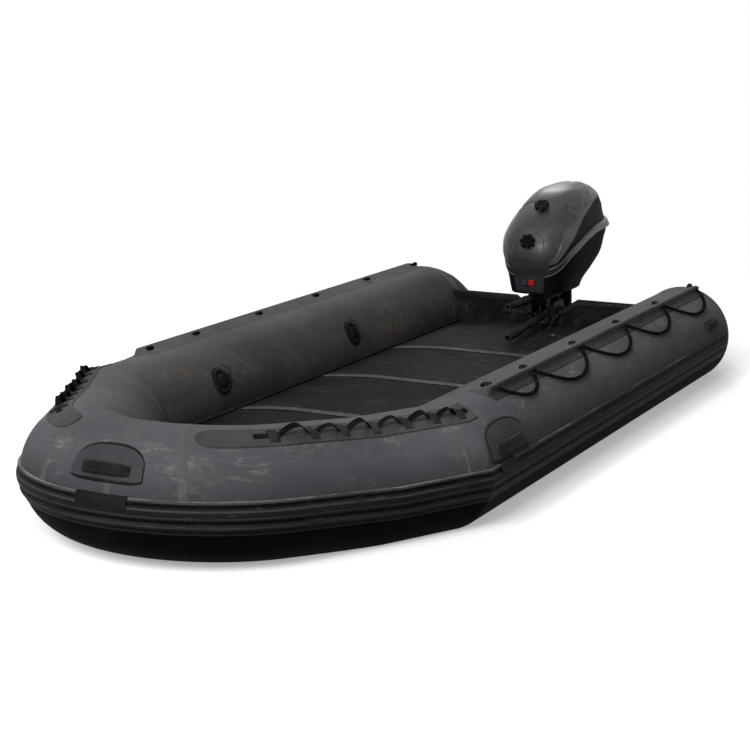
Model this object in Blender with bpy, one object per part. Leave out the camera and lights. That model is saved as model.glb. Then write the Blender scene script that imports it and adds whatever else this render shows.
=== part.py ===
"""Inflatable boat with an outboard engine, afloat.

Metres, +Z up.  The bow points along -Y and port is +X.  The origin is on the
waterline, on the centreline and amidships.
"""
import math

import bmesh
import bpy
from mathutils import Matrix, Vector

# ---------------------------------------------------------------- tubes
TUBE_RADIUS = 0.25
TUBE_OFFSET = 0.774          # centreline of a side tube, from the boat's centreline
TUBE_HEIGHT = 0.22           # centreline of the side tubes above the water
SHOULDER_Y = -1.165          # mitre where the side tubes turn in to the bow
BOW_ANGLE = 27.7             # degrees that the tubes turn in at the mitre
NOSE_RADIUS = 0.48           # centreline radius of the nose
BOW_RISE = 0.05              # lift of the nose over the side tubes
TUBE_END_Y = 1.92            # the side tubes end here and the cones begin
CONE_LENGTH = 0.41
CONE_TOE_IN = 0.06           # the cone's tip lies this much nearer the centreline
FACETS = 40                  # sides of a tube's section
NOSE_STEPS = 8               # straight steps in each half of the nose
GAP = 0.0003                 # between pieces that touch

# ---------------------------------------------------------------- hull skin and floor
SKIN = 0.008
KEEL_DEPTH = 0.115           # of the skin's keel line below the tubes' undersides
SKIN_ANGLE = -117.0          # where the skin leaves a tube, from its outboard side
KEEL_GUARD_WIDTH = 0.07
KEEL_GUARD_THICK = 0.008
FLOOR_EDGE_Z = 0.185
FLOOR_CROWN = 0.026
FLOOR_FLAT = 0.20            # half width of the floor's level middle
FLOOR_THICK = 0.022
FLOOR_JOINTS = (-1.28, -0.505, 0.26, 1.035)
JOINT_WIDTH = 0.05
JOINT_PROUD = 0.004

# ---------------------------------------------------------------- transom
TRANSOM_Y = 1.87
TRANSOM_THICK = 0.04
TRANSOM_TOP = 0.36           # top of the cap
NOTCH_DEPTH = 0.052
NOTCH_HALF = 0.11
NOTCH_SLOPE = 0.08
CAP_RADIUS = 0.03
PLATE_WIDTH = 0.20
PLATE_HEIGHT = 0.17
PLATE_THICK = 0.006
PLATE_LIFT = 0.004           # of the inner plate over the floor

# ---------------------------------------------------------------- fittings on the tubes
STRAKE_TOP = 9.0             # degrees above the tube's outboard side
STRAKE_BOTTOM = -21.0
STRAKE_PROUD = 0.016
STRAKE_END_Y = 1.87
FLANGE_FRONT_Y = -0.88
FLANGE_AFT_Y = 1.915
FLANGE_SLOPE = 0.035         # length of the fin's sloped ends
FLANGE_ANGLE = 74.0          # of the fin's crest
FLANGE_HEIGHT = 0.031        # of the crest over the tube
FLANGE_OUTER = 62.0          # the glued foot runs from here
FLANGE_INNER = 90.0          # to here, over the top of the tube
FLANGE_FOOT = 0.003
EYE_FIRST_Y = -0.80
EYE_FIRST_STEP = 0.38
EYE_STEP = 0.573
EYE_COUNT = 6
EYE_SPREAD = 0.034           # between the two holes of an eye
EYE_LEVEL = 0.016            # of the holes over the tube
EYE_CLEARANCE = 0.0008
LINE_RADIUS = 0.006
LOOP_DROP = 0.11


def reset_scene():
    for item in list(bpy.data.objects):
        bpy.data.objects.remove(item, do_unlink=True)


def make_material(name, colour, roughness, metallic=0.0):
    material = bpy.data.materials.new(name)
    material.use_nodes = True
    shader = material.node_tree.nodes["Principled BSDF"]
    shader.inputs["Base Color"].default_value = (*colour, 1.0)
    shader.inputs["Roughness"].default_value = roughness
    shader.inputs["Metallic"].default_value = metallic
    material.diffuse_color = (*colour, 1.0)
    return material


def add_object(name, mesh_data, material, sharp=35.0):
    """Link the bmesh as a named object with its faces pointing out."""
    bmesh.ops.recalc_face_normals(mesh_data, faces=mesh_data.faces)
    mesh = bpy.data.meshes.new(name)
    mesh_data.to_mesh(mesh)
    mesh_data.free()
    mesh.materials.append(material)
    mesh.shade_smooth()
    mesh.set_sharp_from_angle(angle=math.radians(sharp))
    item = bpy.data.objects.new(name, mesh)
    bpy.context.scene.collection.objects.link(item)
    return item


def add_loft(mesh_data, rings, cap_start=True, cap_end=True):
    """Skin a row of rings that all have the same number of points."""
    rows = [[mesh_data.verts.new(point) for point in ring] for ring in rings]
    count = len(rows[0])
    for first, second in zip(rows[:-1], rows[1:]):
        for k in range(count):
            n = (k + 1) % count
            mesh_data.faces.new((first[k], first[n], second[n], second[k]))
    if cap_start:
        mesh_data.faces.new(rows[0])
    if cap_end:
        mesh_data.faces.new(rows[-1])
    return rows


def add_box(mesh_data, low, high):
    """Axis-aligned block between two corners."""
    x0, y0, z0 = low
    x1, y1, z1 = high
    lower = [Vector((x0, y0, z0)), Vector((x1, y0, z0)), Vector((x1, y1, z0)), Vector((x0, y1, z0))]
    upper = [Vector((point.x, point.y, z1)) for point in lower]
    add_loft(mesh_data, [lower, upper])


def add_extrusion(mesh_data, outline, axis, start, end):
    """Prism whose outline is given in the two other axes, in X, Y, Z order."""
    rings = []
    for place in (start, end):
        ring = []
        for first, second in outline:
            values = [first, second]
            values.insert(axis, place)
            ring.append(Vector(values))
        rings.append(ring)
    add_loft(mesh_data, rings)


def perpendicular_axes(direction):
    helper = Vector((0, 0, 1)) if abs(direction.z) < 0.9 else Vector((1, 0, 0))
    side = direction.cross(helper).normalized()
    return side, direction.cross(side).normalized()


def add_turned(mesh_data, start, end, profile, sides=16):
    """Turn a profile of (distance along the axis, radius) rows about the line from start to end."""
    start = Vector(start)
    direction = (Vector(end) - start).normalized()
    side, other = perpendicular_axes(direction)
    rings = []
    for distance, radius in profile:
        ring = []
        for k in range(sides):
            turn = 2 * math.pi * k / sides
            offset = side * math.cos(turn) * radius + other * math.sin(turn) * radius
            ring.append(start + direction * distance + offset)
        rings.append(ring)
    add_loft(mesh_data, rings)


def add_rod(mesh_data, start, end, radius, sides=16):
    length = (Vector(end) - Vector(start)).length
    add_turned(mesh_data, start, end, [(0.0, radius), (length, radius)], sides)


def join_into(base, others):
    """Union helper solids into the base piece."""
    for other in others:
        join = base.modifiers.new("join", "BOOLEAN")
        join.operation = "UNION"
        join.object = other
        other.hide_render = True
        other.display_type = "WIRE"


def cut_from(base, cutter):
    """Cut a helper solid out of the base piece."""
    cut = base.modifiers.new("cut", "BOOLEAN")
    cut.operation = "DIFFERENCE"
    cut.object = cutter
    cutter.hide_render = True
    cutter.display_type = "WIRE"


def block(name, low, high, material):
    mesh_data = bmesh.new()
    add_box(mesh_data, low, high)
    return add_object(name, mesh_data, material)


def rod(name, start, end, radius, material, sides=16):
    mesh_data = bmesh.new()
    add_rod(mesh_data, start, end, radius, sides)
    return add_object(name, mesh_data, material)


def rounded_outline(half_width, half_depth, power, count=32):
    """Superellipse: power 2 is an ellipse, more is squarer."""
    points = []
    for k in range(count):
        turn = 2 * math.pi * k / count
        c, s = math.cos(turn), math.sin(turn)
        points.append((half_width * math.copysign(abs(c) ** (2 / power), c),
                       half_depth * math.copysign(abs(s) ** (2 / power), s)))
    return points


# ---------------------------------------------------------------- the tubes' centreline
def run_length():
    """Straight stretch between the nose's arc and the shoulder."""
    turn = math.radians(BOW_ANGLE)
    return (TUBE_OFFSET - NOSE_RADIUS * math.cos(turn)) / math.sin(turn)


def nose_centre_y():
    """Centre of the nose's arc."""
    turn = math.radians(BOW_ANGLE)
    return SHOULDER_Y - run_length() * math.cos(turn) + NOSE_RADIUS * math.sin(turn)


def rise_start_y():
    return nose_centre_y() + 0.12


def tube_height(y):
    nose_y = nose_centre_y() - NOSE_RADIUS
    share = (rise_start_y() - y) / (rise_start_y() - nose_y)
    return TUBE_HEIGHT + BOW_RISE * min(1.0, max(0.0, share))


def centreline_points(end_y):
    """Port half of the centreline in plan, from the middle of the nose aft."""
    arc = math.radians(90.0 - BOW_ANGLE)
    points = []
    for k in range(NOSE_STEPS + 1):
        turn = arc * k / NOSE_STEPS
        points.append((NOSE_RADIUS * math.sin(turn), nose_centre_y() - NOSE_RADIUS * math.cos(turn)))
    slope = math.tan(math.radians(BOW_ANGLE))
    points.append((TUBE_OFFSET - (SHOULDER_Y - rise_start_y()) * slope, rise_start_y()))
    points.append((TUBE_OFFSET, SHOULDER_Y))
    points.append((TUBE_OFFSET, end_y))
    points.sort(key=lambda point: point[1])
    return points


class Station:
    """A place on a tube's centreline, with its mitre."""

    def __init__(self, x, y, normal_x, normal_y, stretch):
        self.x = x
        self.y = y
        self.normal = (normal_x, normal_y)
        self.stretch = stretch
        self.z = tube_height(y)

    def point(self, angle, radius, side=1):
        """Point around the tube: 0 degrees is outboard and 90 is up."""
        turn = math.radians(angle)
        reach = radius * math.cos(turn) * self.stretch
        return Vector((side * (self.x + self.normal[0] * reach),
                       self.y + self.normal[1] * reach,
                       self.z + radius * math.sin(turn)))


def make_stations(points):
    """Stations at the points of a plan polyline that starts on the centreline."""
    mirrored = (-points[1][0], points[1][1])
    stations = []
    for k, (x, y) in enumerate(points):
        before = points[k - 1] if k else mirrored
        after = points[k + 1] if k + 1 < len(points) else (2 * x - before[0], 2 * y - before[1])
        first = Vector((x - before[0], y - before[1])).normalized()
        second = Vector((after[0] - x, after[1] - y)).normalized()
        along = (first + second).normalized()
        stretch = 1.0 / max(along.dot(first), 0.5)
        stations.append(Station(x, y, along.y, -along.x, stretch))
    return stations


class Blend:
    """A place between two stations where the tube climbs."""

    def __init__(self, first, second, share):
        self.first = first
        self.second = second
        self.share = share
        self.x = first.x + (second.x - first.x) * share
        self.y = first.y + (second.y - first.y) * share
        self.z = first.z + (second.z - first.z) * share

    def point(self, angle, radius, side=1):
        return self.first.point(angle, radius, side).lerp(self.second.point(angle, radius, side), self.share)


def between(first, second, share):
    """Station on the straight stretch between two stations."""
    if abs(first.z - second.z) > 1e-6:
        return Blend(first, second, share)
    middle = Station(first.x, first.y, *first.normal, first.stretch)
    middle.x = first.x + (second.x - first.x) * share
    middle.y = first.y + (second.y - first.y) * share
    middle.z = first.z + (second.z - first.z) * share
    dx, dy = second.x - first.x, second.y - first.y
    length = math.hypot(dx, dy)
    middle.normal = (dy / length, -dx / length)
    middle.stretch = 1.0
    return middle


STATIONS = make_stations(centreline_points(TUBE_END_Y))
SHOULDER = len(STATIONS) - 2


def tube_ring(station, radius, side=1, shift=0.0):
    ring = [station.point(360.0 * k / FACETS, radius, side) for k in range(FACETS)]
    return [point + Vector((0, shift, 0)) for point in ring]


def snug(radius, step_degrees=360.0 / FACETS):
    """Radius of a faceted inner face that clears a round tube of the given radius by GAP."""
    return (radius + GAP) / math.cos(math.radians(step_degrees / 2))


def path_lengths():
    lengths = [0.0]
    for first, second in zip(STATIONS[:-1], STATIONS[1:]):
        lengths.append(lengths[-1] + math.hypot(second.x - first.x, second.y - first.y))
    return lengths


LENGTHS = path_lengths()
SHOULDER_AT = LENGTHS[SHOULDER]


def station_at(along):
    """Station at a distance from the bow's middle along the centreline, port side."""
    for k in range(len(LENGTHS) - 1):
        if along <= LENGTHS[k + 1] or k == len(LENGTHS) - 2:
            share = (along - LENGTHS[k]) / (LENGTHS[k + 1] - LENGTHS[k])
            if share < 1e-6:
                return STATIONS[k]
            if share > 1 - 1e-6:
                return STATIONS[k + 1]
            return between(STATIONS[k], STATIONS[k + 1], share)


def places_along(start, end, extra=()):
    """Distances from start to end that include every bend of the tube between them."""
    bends = LENGTHS + [-length for length in LENGTHS]
    inside = [place for place in list(bends) + list(extra) if start + 1e-4 < place < end - 1e-4]
    places = sorted([start, end] + inside)
    kept = [places[0]]
    for place in places[1:]:
        if place - kept[-1] > 1e-4:
            kept.append(place)
    return kept


def surface_point(along, angle, radius, side=1):
    """Point on a tube by its distance from the bow's middle; a negative one is on the far side."""
    if along < 0:
        side = -side
    return station_at(abs(along)).point(angle, radius, side)


def side_place(y):
    """Distance along the centreline of a place on a side tube."""
    return SHOULDER_AT + (y - SHOULDER_Y)


def side_point(along, angle, radius, side=1):
    """Point on a side tube's cylinder, which runs on past the shoulder on the outboard side."""
    turn = math.radians(angle)
    return Vector((side * (TUBE_OFFSET + radius * math.cos(turn)), SHOULDER_Y + along - SHOULDER_AT,
                   TUBE_HEIGHT + radius * math.sin(turn)))


def add_wrap(mesh_data, places, side, angle_rows, proud_rows, step=6.0, drift=0.0,
             point=surface_point):
    """Band that hugs the tube.

    angle_rows and proud_rows give, for each place, the outer face's angles and
    its height over the tube.  drift is the most that an edge's angle changes
    from one place to the next.
    """
    rings = []
    count = max(math.ceil(abs(angles[-1] - angles[0]) / step) for angles in angle_rows)
    for place, angles, prouds in zip(places, angle_rows, proud_rows):
        low, high = angles[0], angles[-1]
        inner = [low + (high - low) * k / count for k in range(count + 1)]
        ring = [point(place, angle, TUBE_RADIUS + GAP + proud, side)
                for angle, proud in zip(angles, prouds)]
        ring += [point(place, angle, snug(TUBE_RADIUS, step + drift), side)
                 for angle in reversed(inner)]
        rings.append(ring)
    add_loft(mesh_data, rings)


# ---------------------------------------------------------------- tubes and hull
def build_tubes(material):
    bow = [tube_ring(station, TUBE_RADIUS, -1) for station in reversed(STATIONS[1:SHOULDER + 1])]
    bow += [tube_ring(station, TUBE_RADIUS, 1) for station in STATIONS[:SHOULDER + 1]]
    mesh_data = bmesh.new()
    add_loft(mesh_data, bow)
    add_object("tube_bow", mesh_data, material)

    # share of the length, share of the radius, share of the toe-in
    cone = [(0.00, 1.000, 0.00), (0.05, 0.992, 0.14), (0.13, 0.955, 0.38), (0.25, 0.868, 0.66),
            (0.45, 0.700, 0.88), (0.70, 0.500, 1.00), (0.90, 0.345, 1.00), (1.00, 0.200, 1.00)]
    for side, name in ((1, "port"), (-1, "starboard")):
        mesh_data = bmesh.new()
        add_loft(mesh_data, [tube_ring(STATIONS[SHOULDER], TUBE_RADIUS, side, GAP),
                             tube_ring(STATIONS[-1], TUBE_RADIUS, side)])
        add_object("tube_" + name, mesh_data, material)
        rings = []
        for share, size, toe in cone:
            radius = TUBE_RADIUS * size
            ring = tube_ring(STATIONS[-1], radius, side, GAP + CONE_LENGTH * share)
            rings.append([point - Vector((side * CONE_TOE_IN * toe, 0, 0)) for point in ring])
        mesh_data = bmesh.new()
        add_loft(mesh_data, rings)
        add_object("stern_cone_" + name, mesh_data, material)


def keel_depth(y, front_y):
    """Depth of the skin's keel line under the tubes' undersides."""
    level_y = nose_centre_y() + 0.26
    if y >= level_y:
        return KEEL_DEPTH
    share = min(1.0, (level_y - y) / (level_y - front_y))
    return KEEL_DEPTH * (1.0 - share ** 3.5)


def skin_rows():
    """Rows of (half width, y, underside edge z, keel z, upper edge half width and z)."""
    stations = list(STATIONS[1:SHOULDER + 1])
    run = stations.pop(-1)
    before = stations[-1]
    for share in (0.25, 0.5, 0.75):
        stations.append(between(before, run, share))
    stations.append(run)
    stations.append(between(run, STATIONS[-1], (TRANSOM_Y + TRANSOM_THICK - SHOULDER_Y)
                            / (TUBE_END_Y - SHOULDER_Y)))
    low_angle = SKIN_ANGLE + 360.0 / FACETS
    front_y = stations[0].point(low_angle, TUBE_RADIUS + GAP).y
    rows = []
    for station in stations:
        lower = station.point(low_angle, TUBE_RADIUS + GAP)
        upper = station.point(SKIN_ANGLE, TUBE_RADIUS + GAP)
        keel = station.z - TUBE_RADIUS - keel_depth(lower.y, front_y)
        keel = min(keel, lower.z - 0.002)
        rows.append((lower, upper, keel))
    return rows


def build_hull_skin(material, guard_material):
    """Vee bottom between the tubes, and the guard glued along its keel line."""
    skin_rings, guard_rings = [], []
    for lower, upper, keel in skin_rows():
        slope = (lower.z - keel) / lower.x
        half = min(KEEL_GUARD_WIDTH / 2, 0.8 * lower.x)
        y = lower.y
        skin_rings.append([Vector((-upper.x, upper.y, upper.z)), Vector((-lower.x, y, lower.z)),
                           Vector((-half, y, keel + half * slope)), Vector((0, y, keel)),
                           Vector((half, y, keel + half * slope)), lower, upper,
                           Vector((0, upper.y, keel + SKIN))])
        top = keel - 2 * GAP
        edge = half * 0.6
        guard_rings.append([Vector((-half, y, top + half * slope)), Vector((0, y, top)),
                            Vector((half, y, top + half * slope)),
                            Vector((edge, y, top + edge * slope - KEEL_GUARD_THICK)),
                            Vector((0, y, top - KEEL_GUARD_THICK)),
                            Vector((-edge, y, top + edge * slope - KEEL_GUARD_THICK))])
    mesh_data = bmesh.new()
    add_loft(mesh_data, skin_rings)
    add_object("hull_bottom", mesh_data, material)
    mesh_data = bmesh.new()
    add_loft(mesh_data, guard_rings[4:])
    add_object("keel_guard", mesh_data, guard_material)


def inner_reach(z):
    """Half width between the side tubes at a height."""
    return TUBE_OFFSET - math.sqrt((TUBE_RADIUS + GAP) ** 2 - (z - TUBE_HEIGHT) ** 2)


def floor_corner_y():
    """Where the floor's side bends in at the shoulder."""
    return SHOULDER_Y + (TUBE_OFFSET - inner_reach(FLOOR_EDGE_Z)) * math.tan(math.radians(BOW_ANGLE / 2))


def floor_half(y):
    """Half width of the floor at a place along the boat."""
    widest = inner_reach(FLOOR_EDGE_Z)
    corner_y = floor_corner_y()
    if y >= corner_y:
        return widest
    centre_y = nose_centre_y()
    reach = NOSE_RADIUS * math.cos(math.pi / 2 / NOSE_STEPS * 0.5) - TUBE_RADIUS - 2 * GAP
    turn = math.radians(BOW_ANGLE)
    centreline = TUBE_OFFSET - (SHOULDER_Y - y) * math.tan(turn)
    run = centreline - (TUBE_RADIUS + 2 * GAP) / math.cos(turn)
    arc_end_y = centre_y - reach * math.sin(math.radians(BOW_ANGLE))
    if y > arc_end_y:
        return run
    return math.sqrt(max(reach ** 2 - (centre_y - y) ** 2, 0.0))


def floor_level(x):
    """Height of the floor's upper face: flat in the middle and falling to both sides."""
    fall = max(0.0, abs(x) - FLOOR_FLAT) / (inner_reach(FLOOR_EDGE_Z) - FLOOR_FLAT)
    return FLOOR_EDGE_Z + FLOOR_CROWN * (1 - fall ** 1.5)


def build_floor(material):
    """Arched floorboards, each with a raised joint strip along its aft edge."""
    centre_y = nose_centre_y()
    front_y = centre_y - NOSE_RADIUS + TUBE_RADIUS + 0.012
    corner_y = floor_corner_y()
    edges = [front_y, *FLOOR_JOINTS, TRANSOM_Y - GAP]
    flat = FLOOR_FLAT / inner_reach(FLOOR_EDGE_Z)
    for number, (start, end) in enumerate(zip(edges[:-1], edges[1:]), 1):
        start += GAP if number > 1 else 0.0
        last = number == len(edges) - 1
        rows = [(start, 0.0)]
        if number == 1:
            for share in (0.06, 0.15, 0.3, 0.5, 0.72):
                rows.append((start + (centre_y - start) * share, 0.0))
            rows.append((centre_y, 0.0))
        elif start < corner_y < end:
            rows.append((corner_y, 0.0))
        if last:
            rows.append((end, 0.0))
        else:
            rows += [(end - JOINT_WIDTH, 0.0), (end - JOINT_WIDTH + 0.003, JOINT_PROUD),
                     (end, JOINT_PROUD)]
        rings = []
        for y, proud in rows:
            half = floor_half(y)
            top, bottom = [], []
            for share in (-1.0, -0.96, -0.68, -flat, flat, 0.68, 0.96, 1.0):
                x = half * share
                z = floor_level(x)
                lift = proud if abs(share) < 1 else 0.0
                top.append(Vector((x, y, z + lift)))
                bottom.append(Vector((x, y, z - FLOOR_THICK)))
            rings.append(top + bottom[::-1])
        mesh_data = bmesh.new()
        add_loft(mesh_data, rings)
        add_object("floor_board_%d" % number, mesh_data, material)


# ---------------------------------------------------------------- transom
def build_transom(board_material, cap_material, plate_material):
    board_top = TRANSOM_TOP - CAP_RADIUS
    aft_y = TRANSOM_Y + TRANSOM_THICK
    lower, upper, keel = skin_rows()[-1]
    facet = 360.0 / FACETS
    side_points = [(upper.x - 4 * GAP, upper.z + 0.5 * GAP)]
    angle = 360.0 + SKIN_ANGLE - facet
    station = STATIONS[-1]
    while station.point(angle, TUBE_RADIUS + 2 * GAP).z < board_top - 0.004:
        point = station.point(angle, snug(TUBE_RADIUS, facet) + GAP)
        side_points.append((point.x, point.z))
        angle -= facet
    side_points.append((inner_reach(board_top) - 2 * GAP, board_top))
    notch = [(NOTCH_HALF + NOTCH_SLOPE, board_top), (NOTCH_HALF, board_top - NOTCH_DEPTH)]
    half = [(0.0, keel + SKIN + 2 * GAP)] + side_points + notch
    outline = half + [(-x, z) for x, z in reversed(half[1:])]
    mesh_data = bmesh.new()
    add_extrusion(mesh_data, outline, 1, TRANSOM_Y, aft_y)
    add_object("transom_board", mesh_data, board_material)

    middle_y = TRANSOM_Y + TRANSOM_THICK / 2
    profile = [(-CAP_RADIUS, 0.0), (-CAP_RADIUS, 0.35 * CAP_RADIUS)]
    for k in range(1, 8):
        turn = math.pi * k / 8
        profile.append((-CAP_RADIUS * math.cos(turn), CAP_RADIUS * (0.35 + 0.65 * math.sin(turn))))
    profile += [(CAP_RADIUS, 0.35 * CAP_RADIUS), (CAP_RADIUS, 0.0)]
    # the cap's mitres at the notch lean by half of the notch's slope
    lean = math.tan(math.atan2(NOTCH_DEPTH, NOTCH_SLOPE) / 2)
    corners = [(NOTCH_HALF + NOTCH_SLOPE, board_top), (NOTCH_HALF, board_top - NOTCH_DEPTH)]
    rings = []
    for dy, dz in profile:
        ring = [(inner_reach(board_top + GAP + dz) - GAP, board_top)]
        ring += [(x - lean * dz, z) for x, z in corners]
        ring += [(-x, z) for x, z in reversed(ring)]
        rings.append([Vector((x, middle_y + dy, z + GAP + dz)) for x, z in ring])
    rings = [list(ring) for ring in zip(*rings)]
    mesh_data = bmesh.new()
    add_loft(mesh_data, rings)
    add_object("transom_cap", mesh_data, cap_material)

    plate_top = board_top - NOTCH_DEPTH - 0.006
    for name, y0, y1, low in (
            ("clamp_plate_inner", TRANSOM_Y - GAP - PLATE_THICK, TRANSOM_Y - GAP,
             FLOOR_EDGE_Z + FLOOR_CROWN + PLATE_LIFT),
            ("clamp_plate_outer", aft_y + GAP, aft_y + GAP + PLATE_THICK,
             plate_top - PLATE_HEIGHT)):
        mesh_data = bmesh.new()
        add_box(mesh_data, (-PLATE_WIDTH / 2, y0, low), (PLATE_WIDTH / 2, y1, plate_top))
        add_object(name, mesh_data, plate_material)


# ---------------------------------------------------------------- fittings on the tubes
def build_strakes(material):
    """Rubbing strake: two beads and a wide rib between a thin upper and lower edge."""
    # angle in degrees, height over the tube in metres
    profile = [(STRAKE_TOP, 0.003), (8.3, 0.010), (6.2, 0.011), (5.4, 0.005), (3.4, 0.005),
               (2.6, 0.014), (-2.0, STRAKE_PROUD), (-6.4, 0.014), (-7.8, 0.005), (-10.2, 0.005),
               (-11.2, 0.011), (-14.6, 0.011), (-15.8, 0.004), (-20.0, 0.003), (STRAKE_BOTTOM, 0.001)]
    angles = [angle for angle, proud in reversed(profile)]
    prouds = [proud for angle, proud in reversed(profile)]
    end = side_place(STRAKE_END_Y)
    for name, side, start, finish in (("strake_bow", 1, -SHOULDER_AT, SHOULDER_AT),
                                      ("strake_port", 1, SHOULDER_AT + GAP, end),
                                      ("strake_starboard", -1, SHOULDER_AT + GAP, end)):
        places = places_along(start, finish)
        mesh_data = bmesh.new()
        add_wrap(mesh_data, places, side, [angles] * len(places), [prouds] * len(places))
        add_object(name, mesh_data, material)


EDGE_THICK = 0.0018          # where a glued pad thins out to its edge
PATCH_THICK = 0.004
GRIP_RISE = 0.03
GRIP_WIDTH = 9.0

# A rounded patch carries the handles at the bow and the shoulders; the aft ones have a plain base.
# half length, degrees below and above the grip, squareness of the crown or None if it has none,
# half length of the grip
BOW_PATCH = (0.105, 11.0, 25.0, 2.6, 0.070)
SIDE_PATCH = (0.180, 11.0, 25.0, 2.6, 0.115)
PLAIN_BASE = (0.085, 6.5, 6.5, None, 0.070)
# name, place of the middle along the tube, side, angle of the grip, its patch
HANDLES = [("carry_handle_bow", 0.0, 1, 30.0, BOW_PATCH),
           ("carry_handle_port_fore", side_place(-1.02), 1, 22.0, SIDE_PATCH),
           ("carry_handle_port_aft", side_place(1.66), 1, 25.0, PLAIN_BASE),
           ("carry_handle_starboard_fore", side_place(-1.02), -1, 22.0, SIDE_PATCH),
           ("carry_handle_starboard_aft", side_place(1.66), -1, 25.0, PLAIN_BASE)]


def build_handles(material):
    """Moulded handle: a grip that bridges its patch."""
    for name, middle, side, angle, patch_sizes in HANDLES:
        half, below, above, crown_power, grip_half = patch_sizes
        point = side_point if middle else surface_point
        shares = [(1 - (k / 4) ** 2) ** (1 / crown_power) for k in range(5)] if crown_power else [0.96]
        shares += [-share for share in shares]
        places = places_along(middle - half, middle + half, [middle + half * s for s in shares])
        angle_rows, proud_rows = [], []
        for place in places:
            share = min(1.0, abs(place - middle) / half)
            low, high = angle - below, angle + above
            if crown_power:
                low = angle - below * (1 - 0.25 * share ** 8)
                high = angle + above * (0.12 + 0.88 * math.sqrt(max(0.0, 1 - share ** crown_power)))
            angle_rows.append([low + (high - low) * k / 6 for k in range(7)])
            proud_rows.append([EDGE_THICK] + [PATCH_THICK] * 5 + [EDGE_THICK])
        mesh_data = bmesh.new()
        add_wrap(mesh_data, places, side, angle_rows, proud_rows, 5.5, 5.5 if crown_power else 0.0, point)
        patch = add_object(name, mesh_data, material)

        base = PATCH_THICK / 2
        # place from the middle, underside height, top height
        section = [(-grip_half, base, base + 0.012), (-grip_half + 0.012, base, base + 0.022),
                   (-grip_half + 0.022, base + 0.014, GRIP_RISE),
                   (-grip_half + 0.036, base + 0.018, GRIP_RISE + 0.004)]
        section += [(-place, low, high) for place, low, high in reversed(section)]
        offsets = {middle + place: (low, high) for place, low, high in section}
        known = sorted(offsets)
        rings = []
        for place in places_along(middle - grip_half, middle + grip_half, known):
            before = max(p for p in known if p <= place + 1e-6)
            after = min(p for p in known if p >= place - 1e-6)
            share = 0 if after - before < 1e-6 else (place - before) / (after - before)
            low, high = [offsets[before][k] + (offsets[after][k] - offsets[before][k]) * share
                         for k in (0, 1)]
            ring = []
            for turn, level in ((-0.5, low), (0.5, low), (0.5, (low + high) / 2),
                                (0.3, high), (-0.3, high), (-0.5, (low + high) / 2)):
                ring.append(point(place, angle + GRIP_WIDTH * turn,
                                  snug(TUBE_RADIUS, GRIP_WIDTH) + level, side))
            rings.append(ring)
        mesh_data = bmesh.new()
        add_loft(mesh_data, rings)
        join_into(patch, [add_object("grip", mesh_data, material)])


# ---------------------------------------------------------------- the lifelines and their flanges
EYE_PLACES = [EYE_FIRST_Y] + [EYE_FIRST_Y + EYE_FIRST_STEP + EYE_STEP * k for k in range(EYE_COUNT - 1)]


def flange_frame(side):
    """Foot of the fin's crest on the tube, and the directions out of the tube and across it, inboard."""
    turn = math.radians(FLANGE_ANGLE)
    out = Vector((side * math.cos(turn), 0, math.sin(turn)))
    inboard = Vector((-side * math.sin(turn), 0, math.cos(turn)))
    centre = Vector((side * TUBE_OFFSET, 0, TUBE_HEIGHT))
    return centre + out * TUBE_RADIUS, out, inboard


def build_flanges(material):
    """Low fin glued along the top of each side tube, with pairs of eyes for the lifeline."""
    for side, name in ((1, "port"), (-1, "starboard")):
        angles = [FLANGE_OUTER, FLANGE_OUTER + 1.5, FLANGE_ANGLE - 3.0, FLANGE_ANGLE - 1.0,
                  FLANGE_ANGLE + 1.0, (FLANGE_ANGLE + FLANGE_INNER) / 2, FLANGE_INNER, FLANGE_INNER + 2.0]
        crest = [EDGE_THICK, FLANGE_FOOT, FLANGE_FOOT, FLANGE_HEIGHT - 0.001, FLANGE_HEIGHT,
                 FLANGE_HEIGHT / 2, FLANGE_FOOT, EDGE_THICK]
        ends = [min(level, FLANGE_FOOT) for level in crest]
        places = [FLANGE_FRONT_Y, FLANGE_FRONT_Y + FLANGE_SLOPE, FLANGE_AFT_Y - FLANGE_SLOPE, FLANGE_AFT_Y]
        mesh_data = bmesh.new()
        add_wrap(mesh_data, [side_place(y) for y in places], side, [angles] * 4,
                 [ends, crest, crest, ends], 5.0, 0.0, side_point)
        fin = add_object("lifeline_flange_" + name, mesh_data, material)
        root, out, inboard = flange_frame(side)
        drills = bmesh.new()
        for middle in EYE_PLACES:
            for y in (middle - EYE_SPREAD / 2, middle + EYE_SPREAD / 2):
                centre = root + out * EYE_LEVEL + Vector((0, y, 0))
                add_rod(drills, centre - inboard * 0.05, centre + inboard * 0.09,
                        LINE_RADIUS + EYE_CLEARANCE, 10)
        cut_from(fin, add_object("eye_drills", drills, material))


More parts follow.
